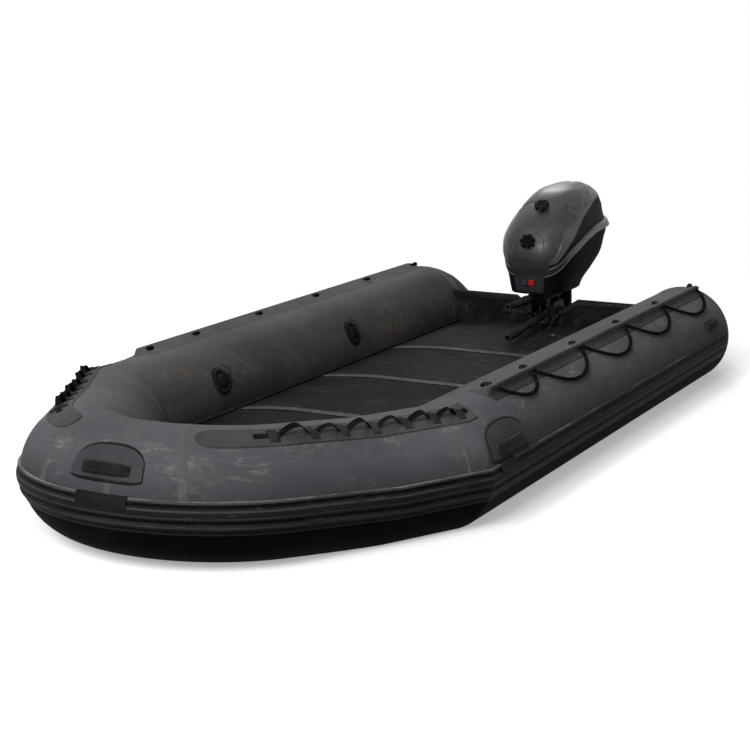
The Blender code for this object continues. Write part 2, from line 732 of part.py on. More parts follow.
def build_lifelines(material):
    """Rope that weaves through the eyes and hangs in loops outboard of the fin."""
    for side, name in ((1, "port"), (-1, "starboard")):
        root, out, inboard = flange_frame(side)

        def by_fin(y, across, lift=EYE_LEVEL):
            return root + out * lift + inboard * across + Vector((0, y, 0))

        route = []
        for k, middle in enumerate(EYE_PLACES):
            first, second = middle - EYE_SPREAD / 2, middle + EYE_SPREAD / 2
            if k:
                route += [by_fin(first, -0.016), by_fin(first, 0.046)]
            route.append(by_fin(first + 0.009 if k else first, 0.057))
            route.append(by_fin(second - 0.009 if k < EYE_COUNT - 1 else second, 0.057))
            if k == EYE_COUNT - 1:
                break
            route += [by_fin(second, 0.046), by_fin(second, -0.016)]
            end = EYE_PLACES[k + 1] - EYE_SPREAD / 2
            for n in range(1, 10):
                share = n / 10
                drop = 0.022 + LOOP_DROP * (1 - abs(2 * share - 1) ** 2.2) * min(1.0, (end - second) / 0.5)
                turn = math.radians(FLANGE_ANGLE) - drop / TUBE_RADIUS
                lift = LINE_RADIUS + FLANGE_FOOT + 0.0015 + 0.004 * max(0.0, abs(2 * share - 1) - 0.7)
                radius = TUBE_RADIUS + lift
                route.append(Vector((side * (TUBE_OFFSET + radius * math.cos(turn)),
                                     second + (end - second) * share,
                                     TUBE_HEIGHT + radius * math.sin(turn))))
        add_cord("lifeline_" + name, route, LINE_RADIUS, material)


# ---------------------------------------------------------------- lashing strips on the bow
LASH_START = 0.19
LASH_END = 1.36
LASH_ANGLE = 68.0
LASH_HALF_ANGLE = 12.5
LASH_PROUD = 0.004
LOOP_FIRST = 0.47
LOOP_STEP = 0.136
LOOP_COUNT = 7
LOOP_WIDTH = 0.026
LOOP_THICK = 0.003
WEB_WIDTH = 7.0              # degrees of the tube's girth
WEB_THICK = 0.004
WEB_ARCH = 0.045


def webbing_height(place):
    """Height of the webbing's underside over its strip: down at each loop and arched between."""
    offset = (place - LOOP_FIRST) / LOOP_STEP
    if offset < 0 or offset > LOOP_COUNT - 1:
        return GAP
    share = offset - math.floor(offset)
    flat = LOOP_WIDTH / LOOP_STEP / 2
    inside = min(1.0, max(0.0, (share - flat) / (1 - 2 * flat)))
    return GAP + WEB_ARCH * math.sin(math.pi * inside) ** 1.3


def belt_loop(middle, side, material):
    """Short strap across the webbing, glued to the strip on both sides of it."""
    foot = LASH_PROUD / 2
    over = LASH_PROUD + 2 * GAP + WEB_THICK + 0.001
    # degrees from the strip's middle, underside, top
    section = [(-11.0, foot, foot + 0.005), (-4.6, foot, over + LOOP_THICK - 0.002),
               (-4.2, over, over + LOOP_THICK), (4.2, over, over + LOOP_THICK),
               (4.6, foot, over + LOOP_THICK - 0.002), (8.0, foot, foot + 0.005)]
    rings = []
    for turn, low, high in section:
        ring = []
        for shift, level in ((-1, low), (1, low), (1, high), (-1, high)):
            ring.append(surface_point(middle + shift * LOOP_WIDTH / 2, LASH_ANGLE + turn,
                                      TUBE_RADIUS + GAP + level, side))
        rings.append(ring)
    mesh_data = bmesh.new()
    add_loft(mesh_data, rings)
    return add_object("belt_loop", mesh_data, material)


def build_lashings(pad_material, web_material):
    for side, name in ((1, "port"), (-1, "starboard")):
        shares = [0.0, 0.01, 0.03, 0.06]
        extra = [LASH_START + (LASH_END - LASH_START) * s for s in shares]
        places = places_along(LASH_START, LASH_END, extra + [LASH_END - 0.03])
        angle_rows, proud_rows = [], []
        for place in places:
            nose = min(1.0, (place - LASH_START) / (0.06 * (LASH_END - LASH_START)))
            half = LASH_HALF_ANGLE * (0.35 + 0.65 * math.sqrt(max(0.0, 1 - (1 - nose) ** 2)))
            angle_rows.append([LASH_ANGLE + half * (k / 2 - 1) for k in range(5)])
            proud_rows.append([EDGE_THICK] + [LASH_PROUD] * 3 + [EDGE_THICK])
        mesh_data = bmesh.new()
        add_wrap(mesh_data, places, side, angle_rows, proud_rows, 4.5, 4.5)
        strip = add_object("lashing_strip_" + name, mesh_data, pad_material)
        join_into(strip, [belt_loop(LOOP_FIRST + LOOP_STEP * k, side, pad_material)
                          for k in range(LOOP_COUNT)])

        rings = []
        start, end = LOOP_FIRST - 0.07, LOOP_FIRST + LOOP_STEP * (LOOP_COUNT - 1) + 0.05
        extra = [LOOP_FIRST + LOOP_STEP * (k + s) for k in range(LOOP_COUNT - 1)
                 for s in (0.0, 0.1, 0.24, 0.38, 0.5, 0.62, 0.76, 0.9)]
        for place in places_along(start, end, extra):
            level = snug(TUBE_RADIUS, WEB_WIDTH) + LASH_PROUD + webbing_height(place)
            ring = []
            for turn, high in ((-0.5, 0), (0.5, 0), (0.5, 1), (-0.5, 1)):
                ring.append(surface_point(place, LASH_ANGLE + WEB_WIDTH * turn,
                                          level + WEB_THICK * high, side))
            rings.append(ring)
        mesh_data = bmesh.new()
        add_loft(mesh_data, rings)
        add_object("lashing_webbing_" + name, mesh_data, web_material)


# ---------------------------------------------------------------- valves and small fittings
VALVE_PLACES = (-0.63, 0.63)
VALVE_ANGLE = 154.0
VALVE_RADIUS = 0.042


def build_valves(material):
    for side, name in ((1, "port"), (-1, "starboard")):
        for y, end in zip(VALVE_PLACES, ("fore", "aft")):
            turn = math.radians(VALVE_ANGLE)
            out = Vector((side * math.cos(turn), 0, math.sin(turn)))
            centre = Vector((side * TUBE_OFFSET, y, TUBE_HEIGHT))
            start = centre + out * (TUBE_RADIUS + GAP)
            profile = [(0.0, VALVE_RADIUS), (0.004, VALVE_RADIUS), (0.007, VALVE_RADIUS - 0.004),
                       (0.007, VALVE_RADIUS - 0.012), (0.003, VALVE_RADIUS - 0.014),
                       (0.003, 0.021), (0.011, 0.020), (0.013, 0.016)]
            mesh_data = bmesh.new()
            add_turned(mesh_data, start, start + out, profile, 16)
            add_object("valve_%s_%s" % (name, end), mesh_data, material, 25.0)


# ---------------------------------------------------------------- outboard engine
TILT_Y = TRANSOM_Y - 0.04
TILT_Z = TRANSOM_TOP - 0.025
TILT_ROD = 0.011
STEER_Y = TRANSOM_Y + 0.12
POST_BOTTOM = 0.03
CLAMP_INNER = 0.052
CLAMP_THICK = 0.026
CLAMP_TOP = TRANSOM_TOP - 0.010
CLAMP_FRONT = 0.03           # of the hooks before the tilt rod
CLAMP_FOOT = 0.06
SWIVEL_TOP = TRANSOM_TOP - 0.023
COVER_BOTTOM = TRANSOM_TOP + 0.055
COWL_WALL = 0.006
COVER_SIDES = 40
LEG_FRONT = STEER_Y + 0.055
PLATE_Z = -0.15              # anti-ventilation plate
PROP_Z = -0.315
PROP_RADIUS = 0.14
PROP_Y = STEER_Y + 0.255
PROP_GAP = 0.006

# height over the cover's bottom, front and rear from the steering axis, half width, squareness
COVER_ROWS = [(0.000, -0.375, 0.100, 0.158, 3.2), (0.040, -0.383, 0.130, 0.168, 3.2),
              (0.095, -0.392, 0.235, 0.186, 3.1), (0.165, -0.410, 0.350, 0.205, 3.0),
              (0.245, -0.410, 0.390, 0.215, 3.0), (0.305, -0.385, 0.410, 0.215, 3.0),
              (0.385, -0.300, 0.400, 0.200, 2.7), (0.465, -0.185, 0.365, 0.165, 2.5),
              (0.525, -0.075, 0.325, 0.110, 2.4), (0.545, 0.040, 0.270, 0.060, 2.2)]
# the seam between the covers: distance aft of the steering axis, height over the covers' bottom
SEAM = [(-0.60, 0.075), (-0.40, 0.090), (-0.35, 0.120), (-0.26, 0.200), (-0.10, 0.262),
        (0.06, 0.295), (0.20, 0.303), (0.60, 0.318)]
PANEL_BOTTOM = 0.012
PANEL_TOP = 0.335            # crown of the arched front panel, over the cover's bottom
PANEL_SHOULDER = 0.185       # where its sides begin to close in
PANEL_PROUD = 0.005
PANEL_SEAT = 0.0016          # the panel's back lies this far off the cover
KNOBS = {"cover_knob_lower": 0.284, "cover_knob_upper": 0.448}   # heights over the cover's bottom
KNOB_RADIUS = 0.042
KNOB_LOBES = 6
# distance out of the cover, share of the knob's radius, depth of the scallops between the lobes
KNOB_ROWS = [(0.000, 0.38, 0.00), (0.008, 0.38, 0.00), (0.010, 0.85, 0.12), (0.014, 1.00, 0.16),
             (0.026, 0.97, 0.16), (0.030, 0.80, 0.10), (0.026, 0.40, 0.00)]
SWITCH_HEIGHT = 0.068
SWITCH_SIZE = (0.080, 0.046)
BUTTON_SIZE = 0.030


def cover_ring(row, inset=0.0, lift=0.0):
    height, front, rear, half, power = row
    middle, reach = (front + rear) / 2, (rear - front) / 2
    return [Vector((x, STEER_Y + middle + y, COVER_BOTTOM + height + lift))
            for x, y in rounded_outline(half - inset, reach - inset, power, COVER_SIDES)]


def cover_point(height, index):
    """Point on the cover by its height and by its place round a ring, 0 being the front's middle."""
    k = 0
    while k < len(COVER_ROWS) - 2 and COVER_ROWS[k + 1][0] < height:
        k += 1
    share = (height - COVER_ROWS[k][0]) / (COVER_ROWS[k + 1][0] - COVER_ROWS[k][0])
    place = 0.75 * COVER_SIDES + index
    low, part = math.floor(place), place - math.floor(place)
    points = []
    for row in (COVER_ROWS[k], COVER_ROWS[k + 1]):
        ring = cover_ring(row)
        points.append(ring[low % COVER_SIDES].lerp(ring[(low + 1) % COVER_SIDES], part))
    return points[0].lerp(points[1], share)


def cover_normal(height):
    """Direction out of the cover at the middle of its front."""
    rise = cover_point(height + 0.005, 0) - cover_point(height - 0.005, 0)
    return Vector((0, -rise.z, rise.y)).normalized()


def seam_side(name, above, material):
    """Large block on one side of the seam between the covers."""
    shift = GAP / 2 if above else -GAP / 2
    far = COVER_BOTTOM + (1.5 if above else -1.0)
    outline = [(STEER_Y + y, COVER_BOTTOM + height + shift) for y, height in SEAM]
    outline += [(STEER_Y + SEAM[-1][0], far), (STEER_Y + SEAM[0][0], far)]
    mesh_data = bmesh.new()
    add_extrusion(mesh_data, outline, 0, -0.6, 0.6)
    return add_object(name, mesh_data, material)


def build_cover(upper_material, lower_material, block_material):
    """Upper and lower cover: one rounded shell, parted along a seam that rises aft."""
    halves = (("cowl_upper", True, upper_material), ("cowl_lower", False, lower_material))
    for name, above, material in halves:
        mesh_data = bmesh.new()
        add_loft(mesh_data, [cover_ring(row) for row in COVER_ROWS])
        shell = add_object(name, mesh_data, material)
        mesh_data = bmesh.new()
        last = len(COVER_ROWS) - 1
        add_loft(mesh_data, [cover_ring(row, COWL_WALL, {0: COWL_WALL, last: -COWL_WALL}.get(k, 0.0))
                             for k, row in enumerate(COVER_ROWS)])
        hollow = add_object(name + "_hollow", mesh_data, material)
        keep = shell.modifiers.new("part", "BOOLEAN")
        keep.operation = "INTERSECT"
        keep.object = seam_side(name + "_side", above, material)
        keep.object.hide_render = True
        keep.object.display_type = "WIRE"
        cut_from(shell, hollow)
    base = COVER_BOTTOM + COWL_WALL + GAP
    mesh_data = bmesh.new()
    add_box(mesh_data, (-0.075, STEER_Y - 0.25, base), (0.075, STEER_Y - 0.03, base + 0.36))
    add_object("engine_block", mesh_data, block_material)


def build_front_panel(material):
    """Arched panel that lies on the front of the cover, over the seam."""
    rings = []
    shared = [row[0] for row in COVER_ROWS if PANEL_BOTTOM < row[0] < PANEL_TOP]
    crown = [PANEL_TOP - (PANEL_TOP - PANEL_SHOULDER) * share for share in (0.0, 0.03, 0.10, 0.45)]
    for height in sorted([PANEL_BOTTOM, *shared, *crown]):
        over = max(0.0, height - PANEL_SHOULDER) / (PANEL_TOP - PANEL_SHOULDER)
        half = 2.0 * math.sqrt(max(0.02, 1 - over ** 2.2))
        inner = 1.0 if half > 1.15 else 0.6 * half
        indices = (-half, -inner, 0.0, inner, half)
        out = Vector((0, -1, 0))
        outer = [cover_point(height, index) + out * PANEL_PROUD for index in indices]
        under = [cover_point(height, index) + out * PANEL_SEAT for index in indices]
        rings.append(outer + under[::-1])
    mesh_data = bmesh.new()
    add_loft(mesh_data, rings)
    add_object("front_panel", mesh_data, material)


def pad_mesh(face, out, outline, start, end):
    """Flat-faced pad on the front of the cover, its outline given across and up."""
    side = Vector((1, 0, 0))
    upward = out.cross(side)
    mesh_data = bmesh.new()
    add_loft(mesh_data, [[face + side * x + upward * z + out * level for x, z in outline]
                         for level in (start, end)])
    return mesh_data


def build_controls(knob_material, panel_material, button_material):
    """Two scalloped knobs on the cover and the stop switch on its panel."""
    for name, height in KNOBS.items():
        out = cover_normal(height)
        lift = GAP + (PANEL_PROUD if height < PANEL_TOP else GAP)
        centre = cover_point(height, 0) + out * lift
        side = Vector((1, 0, 0))
        upward = out.cross(side)
        rings = []
        for distance, share, scallop in KNOB_ROWS:
            radius = share * KNOB_RADIUS
            ring = []
            for k in range(KNOB_LOBES * 6):
                turn = 2 * math.pi * k / (KNOB_LOBES * 6)
                wave = abs(math.cos(KNOB_LOBES * turn / 2)) ** 2.0
                reach = radius * (1 - scallop * wave)
                ring.append(centre + out * distance + side * reach * math.cos(turn)
                            + upward * reach * math.sin(turn))
            rings.append(ring)
        mesh_data = bmesh.new()
        add_loft(mesh_data, rings)
        add_object(name, mesh_data, knob_material, 50.0)

    face = cover_point(SWITCH_HEIGHT, 0) + Vector((0, -(GAP + PANEL_PROUD), 0))
    out = cover_normal(SWITCH_HEIGHT)
    width, height = SWITCH_SIZE
    outline = rounded_outline(width / 2, height / 2, 6.0, 24)
    frame = add_object("stop_switch", pad_mesh(face, out, outline, GAP, 0.006), panel_material)
    buttons = []
    for x in (-0.019, 0.019):
        outline = [(x + a, b) for a, b in rounded_outline(BUTTON_SIZE / 2, BUTTON_SIZE / 2, 5.0, 20)]
        buttons.append(add_object("button", pad_mesh(face, out, outline, 0.003, 0.012), button_material))
    join_into(frame, buttons)


def streamlined(front, rear, half, z, steps=8):
    """Leg section with a round nose and a blunt tail, at one height."""
    right = []
    for k in range(1, steps + 1):
        share = (k / steps) ** 1.6
        fullness = 2.969 * math.sqrt(share) - 1.26 * share - 3.516 * share ** 2 + 2.843 * share ** 3
        width = half * max(0.14, (fullness - 0.9 * share ** 4) / 1.0)
        right.append(Vector((width, front + (rear - front) * share, z)))
    left = [Vector((-point.x, point.y, z)) for point in reversed(right)]
    return [Vector((0, front, z)), *right, *left]


def build_leg(material):
    """Drive leg with its anti-ventilation plate, gear housing and skeg."""
    # height, front and rear from the steering axis, half width
    rows = [(COVER_BOTTOM - GAP, 0.055, 0.175, 0.056), (COVER_BOTTOM - 0.045, 0.055, 0.190, 0.058),
            (0.300, 0.055, 0.190, 0.060), (0.10, 0.060, 0.200, 0.048), (-0.06, 0.060, 0.220, 0.040),
            (PLATE_Z + 0.006, 0.050, 0.250, 0.036)]
    mesh_data = bmesh.new()
    add_loft(mesh_data, [streamlined(STEER_Y + front, STEER_Y + rear, half, z)
                         for z, front, rear, half in rows])
    leg = add_object("drive_leg", mesh_data, material)
    join_into(leg, [block("lower_mount", (-0.028, STEER_Y - 0.022, POST_BOTTOM - 0.038),
                          (0.028, LEG_FRONT + 0.045, POST_BOTTOM - GAP), material)])

    mesh_data = bmesh.new()
    outline = [(x, STEER_Y + 0.17 + y) for x, y in rounded_outline(0.085, 0.19, 2.6, 28)]
    add_extrusion(mesh_data, outline, 2, PLATE_Z - 0.001, PLATE_Z + 0.0057)
    add_object("ventilation_plate", mesh_data, material)

    mesh_data = bmesh.new()
    rows = [(PLATE_Z - 0.0013, 0.070, 0.230, 0.030), (PLATE_Z - 0.07, 0.070, 0.225, 0.026),
            (PROP_Z + 0.04, 0.050, 0.230, 0.022)]
    top = [streamlined(STEER_Y + front, STEER_Y + rear, half, z) for z, front, rear, half in rows]
    add_loft(mesh_data, top)
    strut = add_object("gear_strut", mesh_data, material)
    mesh_data = bmesh.new()
    profile = [(0.0, 0.004), (0.012, 0.020), (0.04, 0.035), (0.09, 0.044), (0.16, 0.045),
               (0.22, 0.044), (0.26, 0.040)]
    add_turned(mesh_data, (0, PROP_Y - PROP_GAP - 0.26, PROP_Z), (0, PROP_Y, PROP_Z), profile, 20)
    housing = add_object("gear_housing", mesh_data, material)
    mesh_data = bmesh.new()
    # half thickness, depth below the propeller's axis
    skeg = [(0.010, 0.025), (0.007, 0.125), (0.003, 0.200)]
    rings = []
    for half, depth in skeg:
        front = STEER_Y + 0.04 + (depth - 0.025) * 0.35
        rear = STEER_Y + 0.20 + (depth - 0.025) * 0.10
        z = PROP_Z - depth
        rings.append([Vector((-half, front + 0.02, z)), Vector((0, front, z)),
                      Vector((half, front + 0.02, z)),
                      Vector((half, rear - 0.03, z)), Vector((0, rear, z)), Vector((-half, rear - 0.03, z))])
    add_loft(mesh_data, rings)
    fin = add_object("skeg", mesh_data, material)
    join_into(housing, [strut, fin])


def build_propeller(material):
    """Three raked blades on a hub that turns about the gear housing's axis."""
    shaft = PROP_GAP - GAP
    hub = [(-shaft, 0.014), (-0.001, 0.014), (0.0, 0.038), (0.01, 0.041), (0.075, 0.036), (0.095, 0.030)]
    centre = Vector((0, PROP_Y, PROP_Z))
    mesh_data = bmesh.new()
    add_turned(mesh_data, centre, centre + Vector((0, 1, 0)), hub, 24)
    spinner = add_object("propeller", mesh_data, material)
    spinner.data.transform(Matrix.Translation(-centre))
    spinner.location = centre
    blades = []
    for number in range(3):
        mesh_data = bmesh.new()
        rings = []
        for k in range(8):
            share = k / 7
            radius = 0.028 + (PROP_RADIUS - 0.028) * share
            pitch = math.atan2(0.30 / (2 * math.pi), radius)
            chord = 0.052 * (0.75 + 1.5 * share - 2.05 * share ** 3)
            chord = max(chord, 0.006)
            thick = 0.0045 * (1 - share) + 0.0018
            ring = []
            for a, b in rounded_outline(chord, thick, 2.0, 10):
                swing = a * math.cos(pitch) - b * math.sin(pitch)
                along = a * math.sin(pitch) + b * math.cos(pitch)
                turn = swing / radius + math.radians(120 * number) + 0.25 * share
                ring.append(Vector((radius * math.sin(turn), 0.045 + along + 0.012 * share,
                                    radius * math.cos(turn))))
            rings.append(ring)
        add_loft(mesh_data, rings)
        blade = add_object("blade_%d" % number, mesh_data, material)
        blade.location = centre
        blades.append(blade)
    join_into(spinner, blades)


def add_sleeve(mesh_data, start, end, inner, outer, sides=20):
    """Tube with an open bore."""
    start, end = Vector(start), Vector(end)
    side, other = perpendicular_axes((end - start).normalized())
    loops = []
    for place, radius in ((start, outer), (end, outer), (end, inner), (start, inner)):
        loops.append([mesh_data.verts.new(place + side * math.cos(2 * math.pi * k / sides) * radius
                                          + other * math.sin(2 * math.pi * k / sides) * radius)
                      for k in range(sides)])
    for first, second in zip(loops, loops[1:] + loops[:1]):
        for k in range(sides):
            n = (k + 1) % sides
            mesh_data.faces.new((first[k], first[n], second[n], second[k]))


HINGE_Y = STEER_Y - 0.26
HINGE_Z = TRANSOM_TOP - 0.066
TILLER_X = 0.05
ARM_END_Y = HINGE_Y - 0.525
ARM_END_Z = HINGE_Z - 0.044
BRACKET_Z = TRANSOM_TOP + 0.008
GRIP_FRONT = STEER_Y - 0.39  # front face of the steering arm, where the throttle grip begins
HOSE_RADIUS = 0.004


def build_clamp(material):
    """Pair of hooks over the transom's notch, with their screws and the tilt rod."""
    cap_front = TRANSOM_Y + TRANSOM_THICK / 2 - CAP_RADIUS
    cap_aft = TRANSOM_Y + TRANSOM_THICK / 2 + CAP_RADIUS
    notch_top = TRANSOM_TOP - NOTCH_DEPTH + 0.003
    aft_face = TRANSOM_Y + TRANSOM_THICK + 2 * GAP + PLATE_THICK
    front = TILT_Y - CLAMP_FRONT
    jaw = FLOOR_EDGE_Z + FLOOR_CROWN + 0.017
    outline = [(front, jaw), (cap_front - 0.005, jaw), (cap_front - 0.005, notch_top),
               (cap_aft + 0.005, notch_top), (cap_aft + 0.005, jaw + 0.034), (aft_face, jaw + 0.022),
               (aft_face, CLAMP_FOOT), (aft_face + 0.032, CLAMP_FOOT), (aft_face + 0.045, CLAMP_TOP - 0.05),
               (aft_face + 0.012, CLAMP_TOP), (front + 0.010, CLAMP_TOP), (front, CLAMP_TOP - 0.02)]
    plates = []
    for side in (1, -1):
        mesh_data = bmesh.new()
        first, second = sorted((side * CLAMP_INNER, side * (CLAMP_INNER + CLAMP_THICK)))
        add_extrusion(mesh_data, outline, 0, first, second)
        plates.append(add_object("clamp_side", mesh_data, material))
    base = plates[0]
    base.name = "clamp_bracket"
    reach = CLAMP_INNER + CLAMP_THICK / 2
    tie_y = aft_face + 0.018
    tie_z = CLAMP_FOOT + 0.015
    join_into(base, [plates[1],
                     rod("tilt_rod", (-reach, TILT_Y, TILT_Z), (reach, TILT_Y, TILT_Z), TILT_ROD, material),
                     rod("lower_tie", (-reach, tie_y, tie_z), (reach, tie_y, tie_z), 0.008, material)])
    for side, name in ((1, "port"), (-1, "starboard")):
        centre = Vector((side * reach, front - GAP, jaw + 0.018))
        mesh_data = bmesh.new()
        add_turned(mesh_data, centre, centre - Vector((0, 1, 0)),
                   [(0.0, 0.006), (0.022, 0.006), (0.022, 0.012), (0.034, 0.012), (0.038, 0.008)], 12)
        add_object("clamp_screw_" + name, mesh_data, material)


def build_swivel(material):
    half = CLAMP_INNER - 0.002
    mesh_data = bmesh.new()
    add_sleeve(mesh_data, (-half, TILT_Y, TILT_Z), (half, TILT_Y, TILT_Z), TILT_ROD + 0.001, 0.0205)
    base = add_object("swivel_bracket", mesh_data, material)
    plate = block("swivel_plate", (-half + 0.01, TILT_Y + 0.0165, SWIVEL_TOP - 0.022),
                  (half - 0.01, STEER_Y - 0.01, SWIVEL_TOP - 0.002), material)
    post = rod("swivel_post", (0, STEER_Y, POST_BOTTOM), (0, STEER_Y, SWIVEL_TOP), 0.03, material, 20)
    join_into(base, [plate, post])


def build_steering(material):
    """Steering arm: a wedge-shaped casting on the swivel's post, with a forked lug for the tiller."""
    lower = SWIVEL_TOP + GAP
    top = COVER_BOTTOM - 0.010
    mesh_data = bmesh.new()
    add_rod(mesh_data, (0, STEER_Y, lower), (0, STEER_Y, top), 0.034, 20)
    base = add_object("steering_arm", mesh_data, material)
    # from the steering axis, half width, underside
    wedge = [(-0.390, 0.019, BRACKET_Z + 0.003), (-0.340, 0.021, BRACKET_Z),
             (-0.270, 0.046, BRACKET_Z - 0.001),
             (-0.180, 0.058, BRACKET_Z - 0.002), (-0.060, 0.058, BRACKET_Z - 0.004),
             (0.010, 0.046, BRACKET_Z - 0.006), (0.0547, 0.040, BRACKET_Z - 0.006)]
    rings = []
    for y, half, under in wedge:
        outline = [(-half, under + 0.006), (-half + 0.006, under), (half - 0.006, under),
                   (half, under + 0.006),
                   (half, top - 0.010), (0.62 * half, top), (-0.62 * half, top), (-half, top - 0.010)]
        rings.append([Vector((x, STEER_Y + y, z)) for x, z in outline])
    mesh_data = bmesh.new()
    add_loft(mesh_data, rings)
    parts = [add_object("wedge", mesh_data, material)]
    lug = rounded_outline(0.017, (BRACKET_Z - HINGE_Z) / 2 + 0.017, 3.0, 16)
    middle = (BRACKET_Z + HINGE_Z) / 2 + 0.003
    for x in (TILLER_X - 0.024, TILLER_X + 0.016):
        mesh_data = bmesh.new()
        # each lug widens up to the casting
        add_extrusion(mesh_data, [(HINGE_Y + a * (1 + max(0.0, 16 * b)), middle + b) for a, b in lug],
                      0, x, x + 0.008)
        parts.append(add_object("lug", mesh_data, material))
    parts.append(block("lug_bar", (0.01, HINGE_Y - 0.016, BRACKET_Z + 0.002),
                       (TILLER_X + 0.024, HINGE_Y + 0.016, BRACKET_Z + 0.016), material))
    parts.append(rod("hinge_pin", (TILLER_X - 0.020, HINGE_Y, HINGE_Z),
                     (TILLER_X + 0.030, HINGE_Y, HINGE_Z), 0.0067, material, 16))
    join_into(base, parts)


def build_arms(arm_material, grip_material):
    """Throttle grip on the steering arm, and the tiller that folds down from its lugs."""
    mesh_data = bmesh.new()
    start = Vector((0, GRIP_FRONT - 2 * GAP, BRACKET_Z + 0.020))
    profile = [(0.0, 0.016), (0.016, 0.016), (0.018, 0.026), (0.050, 0.026), (0.056, 0.021),
               (0.085, 0.021), (0.17, 0.0175), (0.26, 0.0165), (0.272, 0.0175), (0.285, 0.016),
               (0.285, 0.010), (0.255, 0.008)]
    add_turned(mesh_data, start, start + Vector((0, -1, 0.02)), profile, 20)
    add_object("throttle_grip", mesh_data, grip_material)

    hinge = Vector((TILLER_X, HINGE_Y, HINGE_Z))
    end = Vector((TILLER_X, ARM_END_Y, ARM_END_Z))
    collar = hinge.lerp(end, 0.36)
    mesh_data = bmesh.new()
    add_sleeve(mesh_data, hinge - Vector((0.012, 0, 0)), hinge + Vector((0.012, 0, 0)), 0.0072, 0.016, 16)
    base = add_object("tiller_arm", mesh_data, arm_material)
    mesh_data = bmesh.new()
    reach = (collar - hinge).length - 0.010
    along = (collar - hinge).normalized()
    add_turned(mesh_data, hinge + along * 0.010, collar,
               [(0.0, 0.010), (0.040, 0.016), (0.052, 0.0205), (0.072, 0.0205), (0.078, 0.018),
                (reach - 0.022, 0.019), (reach - 0.018, 0.022), (reach - 0.004, 0.022), (reach, 0.013)], 16)
    beam = add_object("tiller_beam", mesh_data, arm_material)
    cross_y = HINGE_Y - 0.07
    cross_z = HINGE_Z + 0.003
    cross_x = -0.052
    cross = rod("cross_bar", (TILLER_X, cross_y, cross_z), (cross_x, cross_y, cross_z + 0.005), 0.010,
                arm_material, 14)
    join_into(base, [beam, cross])

    mesh_data = bmesh.new()
    along = (end - collar).normalized()
    length = (end - collar).length
    add_turned(mesh_data, collar + along * GAP, end,
               [(0.0, 0.017), (0.02, 0.023), (0.045, 0.023), (0.055, 0.016), (0.09, 0.016),
                (0.10, 0.020), (length - 0.03, 0.0205), (length - 0.012, 0.021), (length, 0.018),
                (length, 0.012), (length - 0.03, 0.009)], 20)
    add_object("tiller_grip", mesh_data, grip_material)
    mesh_data = bmesh.new()
    add_turned(mesh_data, (cross_x - GAP, cross_y, cross_z + 0.005),
               (cross_x - 0.116, cross_y, cross_z + 0.0102),
               [(0.0, 0.015), (0.010, 0.017), (0.016, 0.0125), (0.09, 0.0135), (0.105, 0.015),
                (0.115, 0.012)], 16)
    add_object("shift_grip", mesh_data, grip_material)


def smooth_route(points, count):
    """Evenly spaced points on a smooth curve through the route's own points."""
    points = [Vector(point) for point in points]
    padded = [2 * points[0] - points[1], *points, 2 * points[-1] - points[-2]]
    fine = []
    for a, b, c, d in zip(padded[:-3], padded[1:-2], padded[2:-1], padded[3:]):
        for k in range(24):
            t = k / 24
            fine.append(0.5 * ((2 * b) + (c - a) * t + (2 * a - 5 * b + 4 * c - d) * t ** 2
                               + (3 * b - a - 3 * c + d) * t ** 3))
    fine.append(points[-1])
    lengths = [0.0]
    for first, second in zip(fine[:-1], fine[1:]):
        lengths.append(lengths[-1] + (second - first).length)
    route, k = [], 0
    for n in range(count):
        target = lengths[-1] * n / (count - 1)
        while k < len(fine) - 2 and lengths[k + 1] < target:
            k += 1
        span = lengths[k + 1] - lengths[k]
        share = 0.0 if span < 1e-9 else (target - lengths[k]) / span
        route.append(fine[k].lerp(fine[k + 1], min(1.0, share)))
    return route


def add_cord(name, route, radius, material):
    curve = bpy.data.curves.new(name, "CURVE")
    curve.dimensions = "3D"
    spline = curve.splines.new("POLY")
    spline.points.add(len(route) - 1)
    for place, point in zip(spline.points, route):
        place.co = (*point, 1.0)
    curve.bevel_depth = radius
    curve.bevel_resolution = 2
    curve.use_fill_caps = True
    curve.materials.append(material)
    item = bpy.data.objects.new(name, curve)
    bpy.context.scene.collection.objects.link(item)


def build_hose(fitting_material, hose_material):
    """Short hose that hangs from its union on the clamp and ends on the floor."""
    x = CLAMP_INNER + CLAMP_THICK + 0.012
    top = Vector((x, TILT_Y - CLAMP_FRONT + 0.008, FLOOR_EDGE_Z + FLOOR_CROWN + 0.061))
    mesh_data = bmesh.new()
    add_turned(mesh_data, top, top + Vector((0, 1, 0)), [(GAP, 0.006), (0.012, 0.008), (0.0279, 0.008)], 12)
    add_object("hose_union", mesh_data, fitting_material)
    lie = HOSE_RADIUS + 0.0008
    # across, aft from the union, up from the union and then up from the floor
    route = [top, top + Vector((0, -0.014, 0)), top + Vector((0, -0.028, -0.006)),
             top + Vector((0, -0.068, -0.026)),
             (x, top.y - 0.118, floor_level(x) + lie + 0.006),
             (x - 0.003, top.y - 0.158, floor_level(x) + lie + 0.0005),
             (x - 0.012, top.y - 0.201, floor_level(x) + lie)]
    add_cord("fuel_hose", smooth_route(route, 26), HOSE_RADIUS, hose_material)


RING_X = 0.175
RING_Y = TRANSOM_Y - 0.319
RING_RADIUS = 0.016


